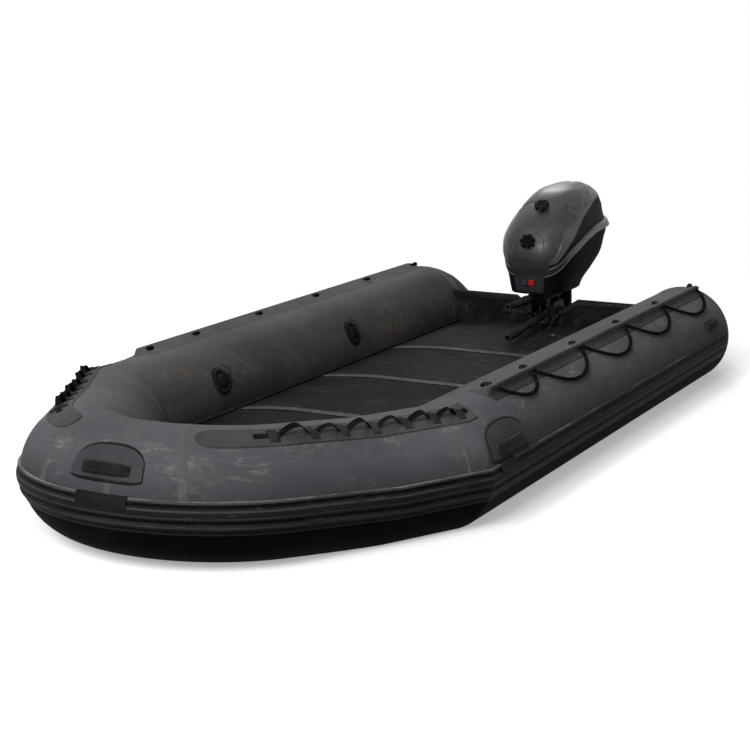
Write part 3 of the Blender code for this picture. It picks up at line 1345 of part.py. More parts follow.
def build_deck_ring(material):
    """Lashing ring that lies on its screwed pad."""
    level = floor_level(RING_X)
    mesh_data = bmesh.new()
    add_turned(mesh_data, (RING_X, RING_Y, level + GAP), (RING_X, RING_Y, 1.0),
               [(0.0, 0.022), (0.003, 0.022), (0.004, 0.008), (0.012, 0.007), (0.015, 0.003)], 12)
    base = add_object("deck_ring", mesh_data, material)
    mesh_data = bmesh.new()
    rings = []
    for k in range(14):
        turn = 2 * math.pi * k / 14
        centre = Vector((RING_X, RING_Y - RING_RADIUS, level + 0.010))
        out = Vector((math.cos(turn), math.sin(turn), 0))
        ring = []
        for n in range(6):
            bend = 2 * math.pi * n / 6
            ring.append(centre + out * (RING_RADIUS + 0.003 * math.cos(bend))
                        + Vector((0, 0, 0.003 * math.sin(bend))))
        rings.append(ring)
    add_loft(mesh_data, rings + [rings[0]], False, False)
    bmesh.ops.remove_doubles(mesh_data, verts=mesh_data.verts, dist=1e-6)
    join_into(base, [add_object("ring", mesh_data, material)])


def hang_on(name, place, nodes, carrier=None):
    """Empty on a joint's axis that carries the named pieces."""
    pivot = bpy.data.objects.new(name, None)
    pivot.empty_display_size = 0.1
    bpy.context.scene.collection.objects.link(pivot)
    pivot.parent = carrier
    pivot.location = Vector(place)
    while carrier:
        pivot.location -= carrier.location
        carrier = carrier.parent
    for node in nodes:
        item = bpy.data.objects[node]
        item.parent = pivot
        item.location -= Vector(place)
    return pivot


def main():
    reset_scene()
    tube = make_material("tube fabric", (0.055, 0.060, 0.066), 0.55)
    black = make_material("black rubber", (0.014, 0.014, 0.015), 0.60)
    skin = make_material("hull fabric", (0.016, 0.017, 0.018), 0.65)
    floor = make_material("floor", (0.030, 0.027, 0.028), 0.55)
    board = make_material("transom board", (0.018, 0.018, 0.018), 0.6)
    strap = make_material("webbing", (0.012, 0.012, 0.012), 0.85)
    rope = make_material("lifeline", (0.020, 0.021, 0.022), 0.8)
    cover = make_material("cover paint", (0.050, 0.052, 0.055), 0.35, 0.4)
    dark = make_material("dark casting", (0.012, 0.012, 0.013), 0.5)
    red = make_material("red plastic", (0.60, 0.02, 0.02), 0.4)
    steel = make_material("steel", (0.25, 0.25, 0.25), 0.4, 1.0)
    build_tubes(tube)
    build_hull_skin(skin, black)
    build_floor(floor)
    build_transom(board, black, steel)
    build_strakes(black)
    build_handles(black)
    build_flanges(black)
    build_lifelines(rope)
    build_lashings(tube, strap)
    build_valves(black)
    build_cover(cover, cover, dark)
    build_front_panel(cover)
    build_controls(black, dark, red)
    build_leg(dark)
    build_propeller(dark)
    build_clamp(dark)
    build_swivel(dark)
    build_steering(dark)
    build_arms(dark, black)
    build_hose(steel, black)
    build_deck_ring(steel)
    swivel = hang_on("tilt_pivot", (0, TILT_Y, TILT_Z), ["swivel_bracket"])
    powerhead = hang_on("steer_pivot", (0, STEER_Y, SWIVEL_TOP),
                        ["steering_arm", "throttle_grip", "cowl_lower", "cowl_upper", "front_panel", *KNOBS,
                         "stop_switch", "engine_block", "drive_leg", "ventilation_plate", "gear_housing"],
                        swivel)
    hang_on("tiller_pivot", (TILLER_X, HINGE_Y, HINGE_Z),
            ["tiller_arm", "tiller_grip", "shift_grip"], powerhead)
    hang_on("propeller_pivot", (0, PROP_Y, PROP_Z), ["propeller"], powerhead)


main()
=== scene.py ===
# Inflatable boat with an outboard engine: finishes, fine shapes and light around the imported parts.
import math

import bmesh
import bpy
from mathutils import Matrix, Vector


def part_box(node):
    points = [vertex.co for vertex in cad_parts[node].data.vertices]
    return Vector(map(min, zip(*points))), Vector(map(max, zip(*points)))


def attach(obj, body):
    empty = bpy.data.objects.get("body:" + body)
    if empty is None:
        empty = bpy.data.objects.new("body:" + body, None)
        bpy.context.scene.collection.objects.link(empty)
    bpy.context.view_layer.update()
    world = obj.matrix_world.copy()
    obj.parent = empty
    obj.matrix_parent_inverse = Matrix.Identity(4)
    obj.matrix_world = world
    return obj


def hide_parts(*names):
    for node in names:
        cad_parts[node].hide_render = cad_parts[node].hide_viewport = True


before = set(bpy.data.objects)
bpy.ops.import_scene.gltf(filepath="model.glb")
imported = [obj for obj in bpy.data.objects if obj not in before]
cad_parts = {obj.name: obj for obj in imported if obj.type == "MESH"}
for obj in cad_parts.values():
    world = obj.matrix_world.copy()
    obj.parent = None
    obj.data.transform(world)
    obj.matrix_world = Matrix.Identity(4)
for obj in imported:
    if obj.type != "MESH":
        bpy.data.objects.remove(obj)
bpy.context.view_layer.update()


def hexToLinear(code):
    parts = [int(code[k:k + 2], 16) / 255 for k in (1, 3, 5)]
    linear = [v / 12.92 if v <= 0.04045 else ((v + 0.055) / 1.055) ** 2.4 for v in parts]
    return (*linear, 1.0)


def addNode(tree, kind, inputs=None, **settings):
    node = tree.nodes.new(kind)
    for name, value in settings.items():
        setattr(node, name, value)
    for key, value in (inputs or {}).items():
        if isinstance(value, bpy.types.Node):
            value = value.outputs[0]
        if isinstance(value, bpy.types.NodeSocket):
            tree.links.new(value, node.inputs[key])
        else:
            node.inputs[key].default_value = value
    return node


# a finished piece: plain mesh at the origin, put on its body, with the nodes it stands for hidden
def settle(piece, body, slot, *nodes):
    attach(piece, body)
    if nodes:
        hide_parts(*nodes)
    return piece


def linkMesh(name, meshData, material, sharp=40, recalc=True):
    if recalc:
        bmesh.ops.recalc_face_normals(meshData, faces=meshData.faces)
    mesh = bpy.data.meshes.new(name)
    meshData.to_mesh(mesh)
    meshData.free()
    for one in material if isinstance(material, (list, tuple)) else [material]:
        mesh.materials.append(one)
    if sharp is not None:
        mesh.shade_smooth()
        mesh.set_sharp_from_angle(angle=math.radians(sharp))
    piece = bpy.data.objects.new(name, mesh)
    bpy.context.scene.collection.objects.link(piece)
    return piece


def finish(name, meshData, material, sharp, body, slot, *nodes):
    return settle(linkMesh(name, meshData, material, sharp), body, slot, *nodes)


# turn live modifiers into a plain mesh
def applyModifiers(piece, sharp):
    graph = bpy.context.evaluated_depsgraph_get()
    graph.update()
    mesh = bpy.data.meshes.new_from_object(piece.evaluated_get(graph), preserve_all_data_layers=True,
                                           depsgraph=graph)
    name = piece.name
    if piece.type == "MESH":
        piece.modifiers.clear()
        piece.data = mesh
        done = piece
    else:
        bpy.data.objects.remove(piece)
        done = bpy.data.objects.new(name, mesh)
        bpy.context.scene.collection.objects.link(done)
    mesh.shade_smooth()
    mesh.set_sharp_from_angle(angle=math.radians(sharp))
    return done


def roundEdges(piece, width, segments, limit, sharp):
    bevel = piece.modifiers.new("edges", "BEVEL")
    bevel.width = width
    bevel.segments = segments
    bevel.limit_method = "ANGLE"
    bevel.angle_limit = math.radians(limit)
    bevel.harden_normals = True
    return applyModifiers(piece, sharp)


def loft(meshData, rings, caps=True):
    rows = [[meshData.verts.new(point) for point in ring] for ring in rings]
    count = len(rows[0])
    for first, second in zip(rows[:-1], rows[1:]):
        for k in range(count):
            n = (k + 1) % count
            meshData.faces.new((first[k], first[n], second[n], second[k]))
    if caps:
        meshData.faces.new(rows[0])
        meshData.faces.new(rows[-1])
    return rows


def crossAxes(direction):
    helper = Vector((0, 0, 1)) if abs(direction.z) < 0.9 else Vector((1, 0, 0))
    side = direction.cross(helper).normalized()
    return side, direction.cross(side).normalized()


def evenly(low, high, count):
    return [low + (high - low) * n / count for n in range(count + 1)]


def roundTurns(count):
    return [2 * math.pi * k / count for k in range(count)]


# rows of distance along the axis and radius, turned about the line from start to end
def turned(meshData, start, end, rows, sides=40):
    start = Vector(start)
    direction = (Vector(end) - start).normalized()
    side, other = crossAxes(direction)
    rings = []
    for distance, radius in rows:
        rings.append([start + direction * distance + side * math.cos(turn) * radius
            + other * math.sin(turn) * radius for turn in roundTurns(sides)])
    loft(meshData, rings)


def roundedOutline(halfWidth, halfDepth, power, count=40):
    points = []
    for turn in roundTurns(count):
        c, s = math.cos(turn), math.sin(turn)
        points.append((halfWidth * math.copysign(abs(c) ** (2 / power), c),
                       halfDepth * math.copysign(abs(s) ** (2 / power), s)))
    return points


def block(meshData, low, high):
    lower = [Vector((low[0], low[1], low[2])), Vector((high[0], low[1], low[2])),
             Vector((high[0], high[1], low[2])), Vector((low[0], high[1], low[2]))]
    loft(meshData, [lower, [Vector((p.x, p.y, high[2])) for p in lower]])


def smoothStep(value, low, high):
    share = min(1.0, max(0.0, (value - low) / (high - low)))
    return share * share * (3 - 2 * share)


# even points on a smooth curve through the given ones
def smoothRoute(points, count):
    points = [Vector(point) for point in points]
    padded = [2 * points[0] - points[1], *points, 2 * points[-1] - points[-2]]
    fine = []
    for a, b, c, d in zip(padded[:-3], padded[1:-2], padded[2:-1], padded[3:]):
        for k in range(24):
            t = k / 24
            fine.append(0.5 * ((2 * b) + (c - a) * t + (2 * a - 5 * b + 4 * c - d) * t ** 2
                               + (3 * b - a - 3 * c + d) * t ** 3))
    fine.append(points[-1])
    lengths = [0.0]
    for first, second in zip(fine[:-1], fine[1:]):
        lengths.append(lengths[-1] + (second - first).length)
    route, k = [], 0
    for n in range(count):
        target = lengths[-1] * n / (count - 1)
        while k < len(fine) - 2 and lengths[k + 1] < target:
            k += 1
        span = lengths[k + 1] - lengths[k]
        share = 0.0 if span < 1e-9 else (target - lengths[k]) / span
        route.append(fine[k].lerp(fine[k + 1], min(1.0, share)))
    return route


# value of a table's column at a key, smooth through the rows
def fromRows(rows, key, column):
    k = 0
    while k < len(rows) - 2 and rows[k + 1][0] < key:
        k += 1
    share = (key - rows[k][0]) / (rows[k + 1][0] - rows[k][0])
    before, first, second, after = (rows[max(0, k - 1)], rows[k], rows[k + 1],
        rows[min(len(rows) - 1, k + 2)])
    span = second[0] - first[0]
    rise = (second[column] - before[column]) / max(1e-9, second[0] - before[0]) * span
    fall = (after[column] - first[column]) / max(1e-9, after[0] - first[0]) * span
    t2, t3 = share ** 2, share ** 3
    return ((2 * t3 - 3 * t2 + 1) * first[column] + (t3 - 2 * t2 + share) * rise
            + (-2 * t3 + 3 * t2) * second[column] + (t3 - t2) * fall)


# camera, lamps and a pale floor at the waterline
view = {"azimuth": 27.05, "elevation": 12.36, "lens": 89.3, "place": (3.757, -7.556, 2.137)}
light = {"sky": 0.22,
         # power, size, place, aim
         "lamps": {"key": (2020, 6.0, (1.2, -11.8, 7.6), (0, 0, 0.2)),
                   "fill": (260, 3.0, (-3.5, 8.5, 6.5), (0.4, 0, 0.3)),
                   "rim": (120, 1.9, (-0.7, -1.1, 6.6), (0, 1.9, 0.6))}}
studioFloor = {"size": 400, "colour": (0.8, 0.8, 0.8, 1), "glow": 0.36, "bounce": (0.12, 0.12, 0.12, 1),
               "plainFrom": 2.6, "plainTo": 6.5}


# 1 for the rays that see the white background: the eye's, and those by way of metal or glass
def seenRays(tree):
    path = addNode(tree, "ShaderNodeLightPath").outputs
    seen = addNode(tree, "ShaderNodeMath", {0: path["Is Camera Ray"], 1: path["Is Glossy Ray"]},
        operation="MAXIMUM")
    return addNode(tree, "ShaderNodeMath", {0: seen, 1: path["Is Transmission Ray"]},
                   operation="MAXIMUM").outputs[0]


def setStage():
    scene = bpy.context.scene
    data = bpy.data.cameras.new("camera")
    data.lens = view["lens"]
    data.sensor_width = 36
    data.clip_end = 900
    camera = bpy.data.objects.new("camera", data)
    camera.location = view["place"]
    camera.rotation_euler = (math.radians(90 - view["elevation"]), 0, math.radians(view["azimuth"]))
    scene.collection.objects.link(camera)
    scene.camera = camera
    scene.view_settings.view_transform = "Standard"

    world = bpy.data.worlds.new("studio")
    world.use_nodes = True
    scene.world = world
    tree = world.node_tree
    tree.nodes.clear()
    dim = addNode(tree, "ShaderNodeBackground", {"Color": (1, 1, 1, 1), "Strength": light["sky"]})
    bright = addNode(tree, "ShaderNodeBackground", {"Color": (1, 1, 1, 1), "Strength": 1.0})
    mixed = addNode(tree, "ShaderNodeMixShader", {0: seenRays(tree), 1: dim, 2: bright})
    addNode(tree, "ShaderNodeOutputWorld", {"Surface": mixed})

    for name, (power, size, place, aim) in light["lamps"].items():
        lamp = bpy.data.lights.new(name, "AREA")
        lamp.energy = power
        lamp.size = size
        item = bpy.data.objects.new(name, lamp)
        item.location = place
        item.rotation_euler = (Vector(aim) - item.location).to_track_quat("-Z", "Y").to_euler()
        scene.collection.objects.link(item)

    # to the eye the floor keeps the boat's shadow near it and runs out to plain white further off
    material = bpy.data.materials.new("pale studio floor")
    material.use_nodes = True
    tree = material.node_tree
    tree.nodes.clear()
    matte = addNode(tree, "ShaderNodeBsdfDiffuse", {"Color": studioFloor["colour"]})
    glow = addNode(tree, "ShaderNodeEmission", {"Color": (1, 1, 1, 1), "Strength": studioFloor["glow"]})
    white = addNode(tree, "ShaderNodeEmission", {"Color": (1, 1, 1, 1), "Strength": 1.0})
    both = addNode(tree, "ShaderNodeAddShader", {0: matte, 1: glow})
    spot = addNode(tree, "ShaderNodeTexCoord").outputs["Object"]
    reach = addNode(tree, "ShaderNodeVectorMath", {0: spot}, operation="LENGTH")
    far = addNode(tree, "ShaderNodeMapRange", {"Value": reach.outputs["Value"],
                                               "From Min": studioFloor["plainFrom"],
                                               "From Max": studioFloor["plainTo"]},
                  interpolation_type="SMOOTHSTEP")
    shown = addNode(tree, "ShaderNodeMixShader", {0: far, 1: both, 2: white})
    bounce = addNode(tree, "ShaderNodeBsdfDiffuse", {"Color": studioFloor["bounce"]})
    mixed = addNode(tree, "ShaderNodeMixShader", {0: seenRays(tree), 1: bounce, 2: shown})
    addNode(tree, "ShaderNodeOutputMaterial", {"Surface": mixed})
    meshData = bmesh.new()
    bmesh.ops.create_grid(meshData, x_segments=2, y_segments=2, size=studioFloor["size"])
    floor = linkMesh("floor", meshData, material)
    print("stage set")


setStage()





def mixColour(tree, factor, first, second):
    second = hexToLinear(second) if isinstance(second, str) else second
    return addNode(tree, "ShaderNodeMix", {0: factor, 6: first, 7: second}, data_type="RGBA").outputs[2]


def ramp(tree, value, low, high, start=0.0, end=1.0):
    return addNode(tree, "ShaderNodeMapRange", {"Value": value, "From Min": low, "From Max": high,
                                                "To Min": start, "To Max": end}).outputs[0]


def grain(tree, place, scale, detail=4.0, roughness=0.55, stretch=(1, 1, 1), turn=(0, 0, 0),
        offset=(0, 0, 0)):
    spread = addNode(tree, "ShaderNodeMapping", {"Vector": place, "Scale": stretch, "Rotation": turn,
                                                 "Location": offset})
    return addNode(tree, "ShaderNodeTexNoise", {"Vector": spread, "Scale": scale, "Detail": detail,
                                                "Roughness": roughness}).outputs["Fac"]


def combine(tree, first, second, operation="MULTIPLY", clamp=True):
    return addNode(tree, "ShaderNodeMath", {0: first, 1: second}, operation=operation,
        use_clamp=clamp).outputs[0]


def scaledOnto(tree, value, scale, base):
    return addNode(tree, "ShaderNodeMath", {0: value, 1: scale, 2: base},
        operation="MULTIPLY_ADD").outputs[0]


# a noise cut to broken patches between two levels
def patchy(tree, place, scale, detail, roughness, low, high, share=1.0, least=0.0, **shift):
    return ramp(tree, grain(tree, place, scale, detail, roughness, **shift), low, high, least, share)


# thin crests of a noise drawn out along the surface: the scuffs that a boat gathers
def scratches(tree, place, scale, width, stretch, turn, offset=(0, 0, 0)):
    lines = grain(tree, place, scale, 3, 0.5, stretch, turn, offset)
    crest = ramp(tree, combine(tree, lines, 0.5, "SUBTRACT", False), -width, width, -1.0, 1.0)
    return ramp(tree, combine(tree, crest, 0.0, "ABSOLUTE", False), 0.0, 1.0, 1.0, 0.0)


# every finish: clouded base colour, dust in broken patches, scuffs, worn corners and a fine relief
def wornFinish(name, kind, place="Object", extra=None, **changes):
    look = {**plainLook, **finishes[kind], **changes}
    material = bpy.data.materials.new(name)
    material.use_nodes = True
    tree = material.node_tree
    shader = tree.nodes["Principled BSDF"]
    base, deep, dust, scar = (hexToLinear(look[key]) for key in ("colour", "deep", "dust", "scar"))
    for label, value in (("Base Color", base), ("Roughness", look["roughness"]),
            ("Metallic", look["metallic"]), ("Specular IOR Level", look["shine"])):
        shader.inputs[label].default_value = value
    if place == "Object":
        spot = addNode(tree, "ShaderNodeTexCoord").outputs["Object"]
    else:
        spot = addNode(tree, "ShaderNodeUVMap", uv_map=place).outputs[0]
    cloudy, dusted, scarred = look["cloudScale"], look["dustScale"], look["scarScale"]
    colour = mixColour(tree, patchy(tree, spot, cloudy, 5, 0.6, 0.38, 0.66), deep, base)
    mottle = patchy(tree, spot, cloudy * 9, 4, 0.7, 0.35, 0.75, look["mottle"])
    colour = mixColour(tree, mottle, colour, deep)
    dull = patchy(tree, spot, dusted, 6, 0.7, 0.52, 0.7, offset=(3, 1, 7))
    specks = patchy(tree, spot, dusted * 14, 6, 0.75, 0.4, 0.72)
    dusty = combine(tree, combine(tree, dull, specks), look["dustAmount"])
    colour = mixColour(tree, dusty, colour, dust)
    broken = patchy(tree, spot, dusted * 2.3, 5, 0.6, 0.5, 0.62, offset=(9, 4, 2))
    lines = scratches(tree, spot, scarred, look["scarWidth"], look["scarStretch"], (0, 0, 0.12))
    across = scratches(tree, spot, scarred * 0.8, look["scarWidth"] * 0.8, look["scarStretch"],
        (0.3, 0.2, 0.9), (4, 8, 1))
    lines = combine(tree, lines, combine(tree, across, 0.6), "MAXIMUM")
    scars = combine(tree, combine(tree, lines, broken), look["scarAmount"])
    colour = mixColour(tree, scars, colour, scar)
    if look["edge"]:
        # corners rub pale
        worn = addNode(tree, "ShaderNodeNewGeometry").outputs["Pointiness"]
        worn = combine(tree, ramp(tree, worn, 0.52, 0.6), specks)
        colour = mixColour(tree, combine(tree, worn, look["edge"]), colour, scar)
    if extra:
        colour = extra(tree, spot, colour)
    tree.links.new(colour, shader.inputs["Base Color"])
    # dust is rougher, scuffs cut a little into the relief
    rough = scaledOnto(tree, mottle, 0.15, scaledOnto(tree, dusty, 0.35, look["roughness"]))
    tree.links.new(rough, shader.inputs["Roughness"])
    height = scaledOnto(tree, scars, -0.6, grain(tree, spot, look["bumpScale"], 3, 0.6))
    bump = addNode(tree, "ShaderNodeBump", {"Height": height, "Strength": look["bump"],
                                            "Distance": look["bumpDepth"]})
    tree.links.new(bump.outputs[0], shader.inputs["Normal"])
    return material


# what most finishes share; scales are features to the metre, relief depths are metres
plainLook = {"metallic": 0.0, "shine": 0.02, "mottle": 0.4, "dustAmount": 0.45, "scarScale": 9.0,
    "scarStretch": (1, 1, 2.5), "scarWidth": 0.01, "scarAmount": 0.3, "edge": 0.0, "bump": 0.1,
    "bumpDepth": 0.001}
finishes = {
    "tube": {"colour": "#55575a", "deep": "#424447", "dust": "#77736d", "scar": "#918e89",
        "roughness": 0.64, "shine": 0.03, "cloudScale": 1.3, "mottle": 0.35, "dustScale": 2.2,
        "dustAmount": 0.55, "scarScale": 5.5, "scarStretch": (0.55, 2.0, 1), "bumpScale": 90,
        "bumpDepth": 0.002},
    "rubber": {"colour": "#232324", "deep": "#151516", "dust": "#4a4845", "scar": "#6d6a65",
        "roughness": 0.56, "cloudScale": 2.5, "dustScale": 5.0, "scarStretch": (0.4, 3.0, 1), "edge": 0.55,
        "bumpScale": 220, "bump": 0.12},
    "hull": {"colour": "#0b0b0c", "deep": "#060607", "dust": "#1d1c1c", "scar": "#2c2b2a",
        "roughness": 0.66, "shine": 0.01, "cloudScale": 1.5, "dustScale": 3.0, "dustAmount": 0.3,
        "scarScale": 4.0, "scarStretch": (0.4, 2.5, 1), "scarAmount": 0.2, "bumpScale": 120,
        "bumpDepth": 0.002},
    "deck": {"colour": "#211e22", "deep": "#121013", "dust": "#3c383c", "scar": "#666165",
        "roughness": 0.68, "cloudScale": 1.8, "mottle": 0.45, "dustScale": 2.6, "scarScale": 7.0,
        "scarStretch": (0.3, 4.0, 1), "scarWidth": 0.012, "scarAmount": 0.4, "edge": 0.4, "bumpScale": 260},
    "strip": {"colour": "#4a464b", "deep": "#343136", "dust": "#6a6569", "scar": "#858183",
        "roughness": 0.55, "cloudScale": 4.0, "mottle": 0.45, "dustScale": 6.0, "dustAmount": 0.5,
        "scarStretch": (0.35, 3.0, 1), "scarWidth": 0.012, "scarAmount": 0.4, "edge": 0.5,
        "bumpScale": 260},
    "board": {"colour": "#141415", "deep": "#0c0c0d", "dust": "#302f2e", "scar": "#53514e",
        "roughness": 0.58, "cloudScale": 3.0, "dustScale": 4.0, "scarScale": 8.0, "scarStretch": (1, 1, 3),
        "scarAmount": 0.35, "edge": 0.5, "bumpScale": 240},
    "paint": {"colour": "#39383b", "deep": "#2a292c", "dust": "#565459", "scar": "#8c898b",
        "roughness": 0.38, "metallic": 0.36, "shine": 0.3, "cloudScale": 3.5, "mottle": 0.3,
        "dustScale": 5.0, "dustAmount": 0.3, "scarAmount": 0.22, "edge": 0.5, "bumpScale": 300,
        "bump": 0.05},
    "plastic": {"colour": "#151416", "deep": "#0d0d0e", "dust": "#353335", "scar": "#535153",
        "roughness": 0.68, "cloudScale": 4.0, "mottle": 0.35, "dustScale": 6.0, "dustAmount": 0.35,
        "scarAmount": 0.25, "edge": 0.5, "bumpScale": 420, "bumpDepth": 0.0006},
    "casting": {"colour": "#131314", "deep": "#0b0b0c", "dust": "#343230", "scar": "#5e5b57",
        "roughness": 0.52, "metallic": 0.1, "cloudScale": 6.0, "mottle": 0.35, "dustScale": 8.0,
        "scarScale": 14.0, "scarStretch": (1, 1, 2), "scarWidth": 0.012, "edge": 0.7, "bumpScale": 380,
        "bump": 0.15, "bumpDepth": 0.0008},
    "steel": {"colour": "#5f5f60", "deep": "#3b3b3c", "dust": "#4f4a44", "scar": "#a3a3a2",
        "roughness": 0.42, "metallic": 1.0, "shine": 0.5, "cloudScale": 9.0, "dustScale": 12.0,
        "dustAmount": 0.5, "scarScale": 22.0, "scarStretch": (1, 1, 3), "scarWidth": 0.015,
        "scarAmount": 0.4, "bumpScale": 500, "bumpDepth": 0.0005},
    "webbing": {"colour": "#121212", "deep": "#0a0a0a", "dust": "#4a4744", "scar": "#55524e",
        "roughness": 0.8, "cloudScale": 8.0, "dustScale": 9.0, "dustAmount": 0.4, "scarScale": 20.0,
        "scarStretch": (1, 1, 1), "scarWidth": 0.012, "scarAmount": 0.15, "bumpScale": 700, "bump": 0.3,
        "bumpDepth": 0.0006},
    "rope": {"colour": "#121213", "deep": "#09090a", "dust": "#3a3835", "scar": "#6a6762",
        "roughness": 0.78, "cloudScale": 12.0, "mottle": 0.45, "dustScale": 9.0, "scarScale": 40.0,
        "scarStretch": (1, 1, 1), "scarWidth": 0.02, "scarAmount": 0.2, "bumpScale": 900, "bump": 0.4,
        "bumpDepth": 0.0006},
}


# on the tube's inboard flank brown dust gathers, thicker near the floor, and the flank is painted darker as
# painted shade; below the strake the tube is painted near black as painted shade of its underside
# turns are degrees up from outboard
tubeWearAndShade = {"radius": 0.25, "underShadeFrom": 238.0, "underShadeTo": 340.0, "underShadeSoft": 8,
            "flank": 82.0, "flankTo": 128.0, "low": 205.0, "shade": "#27282a", "shadeAmount": 0.6,
            "dust": "#5d5247", "dustShares": (0.25, 0.95),
            # under: painted shade just over the strake
            "under": "#2a2c2f", "overStrakeShadeTurns": (34.0, 8.0), "overStrakeShadeAmount": 0.55,
            "chalk": "#8a8680", "chalkTurns": (30.0, 48.0), "chalkEnd": (66.0, 54.0), "chalkAmount": 0.75}
# on the strake, degrees up from outboard
strakeWearAndPaintedLight = {"bead": (8.1, 8.7), "beadEnd": (9.6, 9.9), "dust": "#8b867e",
              # painted shade keeps the grooves black and painted highlights turn the ribs between them grey:
              # middle, half width, tone, amount
              "lines": [(4.4, 1.0, "#060606", 0.9), (-9.0, 1.3, "#060606", 0.9),
                        (-17.6, 1.4, "#080808", 0.8), (7.4, 0.8, "#4a4947", 0.6),
                        (1.2, 1.0, "#454442", 0.6), (-4.6, 1.1, "#3f3e3d", 0.5),
                        (-12.8, 1.0, "#3f3e3d", 0.6)],
              "lineSoft": 0.002, "aft": (0.9, 2.4), "aftTone": "#070708", "aftAmount": 0.62}


def tubeBands(tree, spot, colour):
    split = addNode(tree, "ShaderNodeSeparateXYZ", {0: spot})
    angle = ramp(tree, split.outputs["Y"], 0.0, 2 * math.pi * tubeWearAndShade["radius"], 0.0, 360.0)
    # painted shade: the flank is painted darker than the top
    flank = combine(tree, ramp(tree, angle, tubeWearAndShade["flank"], tubeWearAndShade["flankTo"]),
                    ramp(tree, angle, tubeWearAndShade["underShadeFrom"] + tubeWearAndShade["underShadeSoft"], tubeWearAndShade["underShadeFrom"]))
    colour = mixColour(tree, combine(tree, flank, tubeWearAndShade["shadeAmount"]), colour, tubeWearAndShade["shade"])
    # painted shade darkens the tube just over the strake, and it is rubbed chalky along the shoulder
    under = combine(tree, ramp(tree, angle, *tubeWearAndShade["overStrakeShadeTurns"]), tubeWearAndShade["overStrakeShadeAmount"])
    colour = mixColour(tree, under, colour, tubeWearAndShade["under"])
    shoulder = combine(tree, ramp(tree, angle, *tubeWearAndShade["chalkTurns"]),
        ramp(tree, angle, *tubeWearAndShade["chalkEnd"]))
    rubbed = patchy(tree, spot, 4.5, 9, 0.72, 0.5, 0.66, stretch=(1.0, 1.6, 1), offset=(5, 2, 0))
    rubbed = combine(tree, rubbed, patchy(tree, spot, 42.0, 6, 0.8, 0.45, 0.62))
    chalky = combine(tree, combine(tree, rubbed, shoulder), tubeWearAndShade["chalkAmount"])
    colour = mixColour(tree, chalky, colour, tubeWearAndShade["chalk"])
    broad = patchy(tree, spot, 1.7, 8, 0.68, 0.47, 0.58, stretch=(0.8, 1.5, 1), offset=(2, 6, 0))
    broken = patchy(tree, spot, 26.0, 8, 0.8, 0.38, 0.62)
    lower = ramp(tree, angle, tubeWearAndShade["flank"], tubeWearAndShade["low"], *tubeWearAndShade["dustShares"])
    brown = combine(tree, combine(tree, broad, broken), combine(tree, flank, lower))
    return mixColour(tree, brown, colour, tubeWearAndShade["dust"])


# pale dust caught along the strake's upper bead, with painted shade in its grooves and painted highlights on
# its ribs
def beadDustAndPaintedLight(tree, spot, colour):
    split = addNode(tree, "ShaderNodeSeparateXYZ", {0: spot}).outputs

    def arc(*turns):
        return [math.radians(turn) * tubeWearAndShade["radius"] for turn in turns]

    bead = combine(tree, ramp(tree, split["Y"], *arc(*strakeWearAndPaintedLight["bead"])),
                   ramp(tree, split["Y"], *arc(*strakeWearAndPaintedLight["beadEnd"]), 1.0, 0.0))
    broken = patchy(tree, spot, 5.0, 7, 0.7, 0.4, 0.62, 0.75, 0.1, stretch=(0.7, 3, 1))
    colour = mixColour(tree, combine(tree, bead, broken), colour, strakeWearAndPaintedLight["dust"])
    # painted shade in the grooves, painted highlights on the ribs
    for middle, half, tone, amount in strakeWearAndPaintedLight["lines"]:
        low, high = arc(middle - half, middle + half)
        line = combine(tree, ramp(tree, split["Y"], low, low + strakeWearAndPaintedLight["lineSoft"]),
                       ramp(tree, split["Y"], high, high - strakeWearAndPaintedLight["lineSoft"]))
        line = combine(tree, combine(tree, line, amount), patchy(tree, spot, 9.0, 6, 0.55, 0.3, 0.48))
        colour = mixColour(tree, line, colour, tone)
    # aft of the shoulders it is less rubbed and darker
    along = combine(tree, split["X"], 0.0, "ABSOLUTE", False)
    aft = combine(tree, ramp(tree, along, *strakeWearAndPaintedLight["aft"]), strakeWearAndPaintedLight["aftAmount"])
    return mixColour(tree, aft, colour, strakeWearAndPaintedLight["aftTone"])


# rubber coated polyester: dull, a fine cloth shows in it, scuffs turn chalky
tubeFabric = wornFinish("rubber coated tube fabric", "tube", "along", tubeBands)
padFabric = wornFinish("glued reinforcing fabric", "tube", "along", colour="#484846", deep="#353432",
    dustAmount=0.75)
seamFabric = wornFinish("seam tape", "tube", "along", colour="#575756", deep="#464645")
# moulded rubber: near black, corners rub grey
rubber = wornFinish("moulded black rubber", "rubber")
# the strake's rubber carries painted shade in its grooves and painted highlights on its ribs
strakeRubber = wornFinish("extruded rubber strake", "rubber", "along", beadDustAndPaintedLight)
# sheet rubber wears evenly, with no pale corners
sheetRubber = wornFinish("rubber sheet", "rubber", edge=0.0)
patchFabric = wornFinish("handle patch fabric", "tube", "along", colour="#424446", deep="#333537")
gripRubber = wornFinish("handle rubber, rubbed", "rubber", "along", colour="#27282a", edge=0.9)
# the tube below the strake painted near black: painted shade of its underside
underShadeFabric = wornFinish("tube fabric painted near black as shade under the strake", "hull", "along", colour="#0a0a0b",
    deep="#060606", shine=0.01)
hullFabric = wornFinish("black rubber coated hull fabric", "hull")
# film faced plywood: smooth brown black film that scratches pale
deckCoat = wornFinish("film faced plywood", "deck")
stripMetal = wornFinish("anodised aluminium joint strip, dulled", "strip")
boardCoat = wornFinish("black sealed plywood", "board")
# painted covers: a satin metallic coat over moulded plastic, and bare textured plastic below it
coverPaint = wornFinish("satin metallic paint on moulded plastic", "paint")
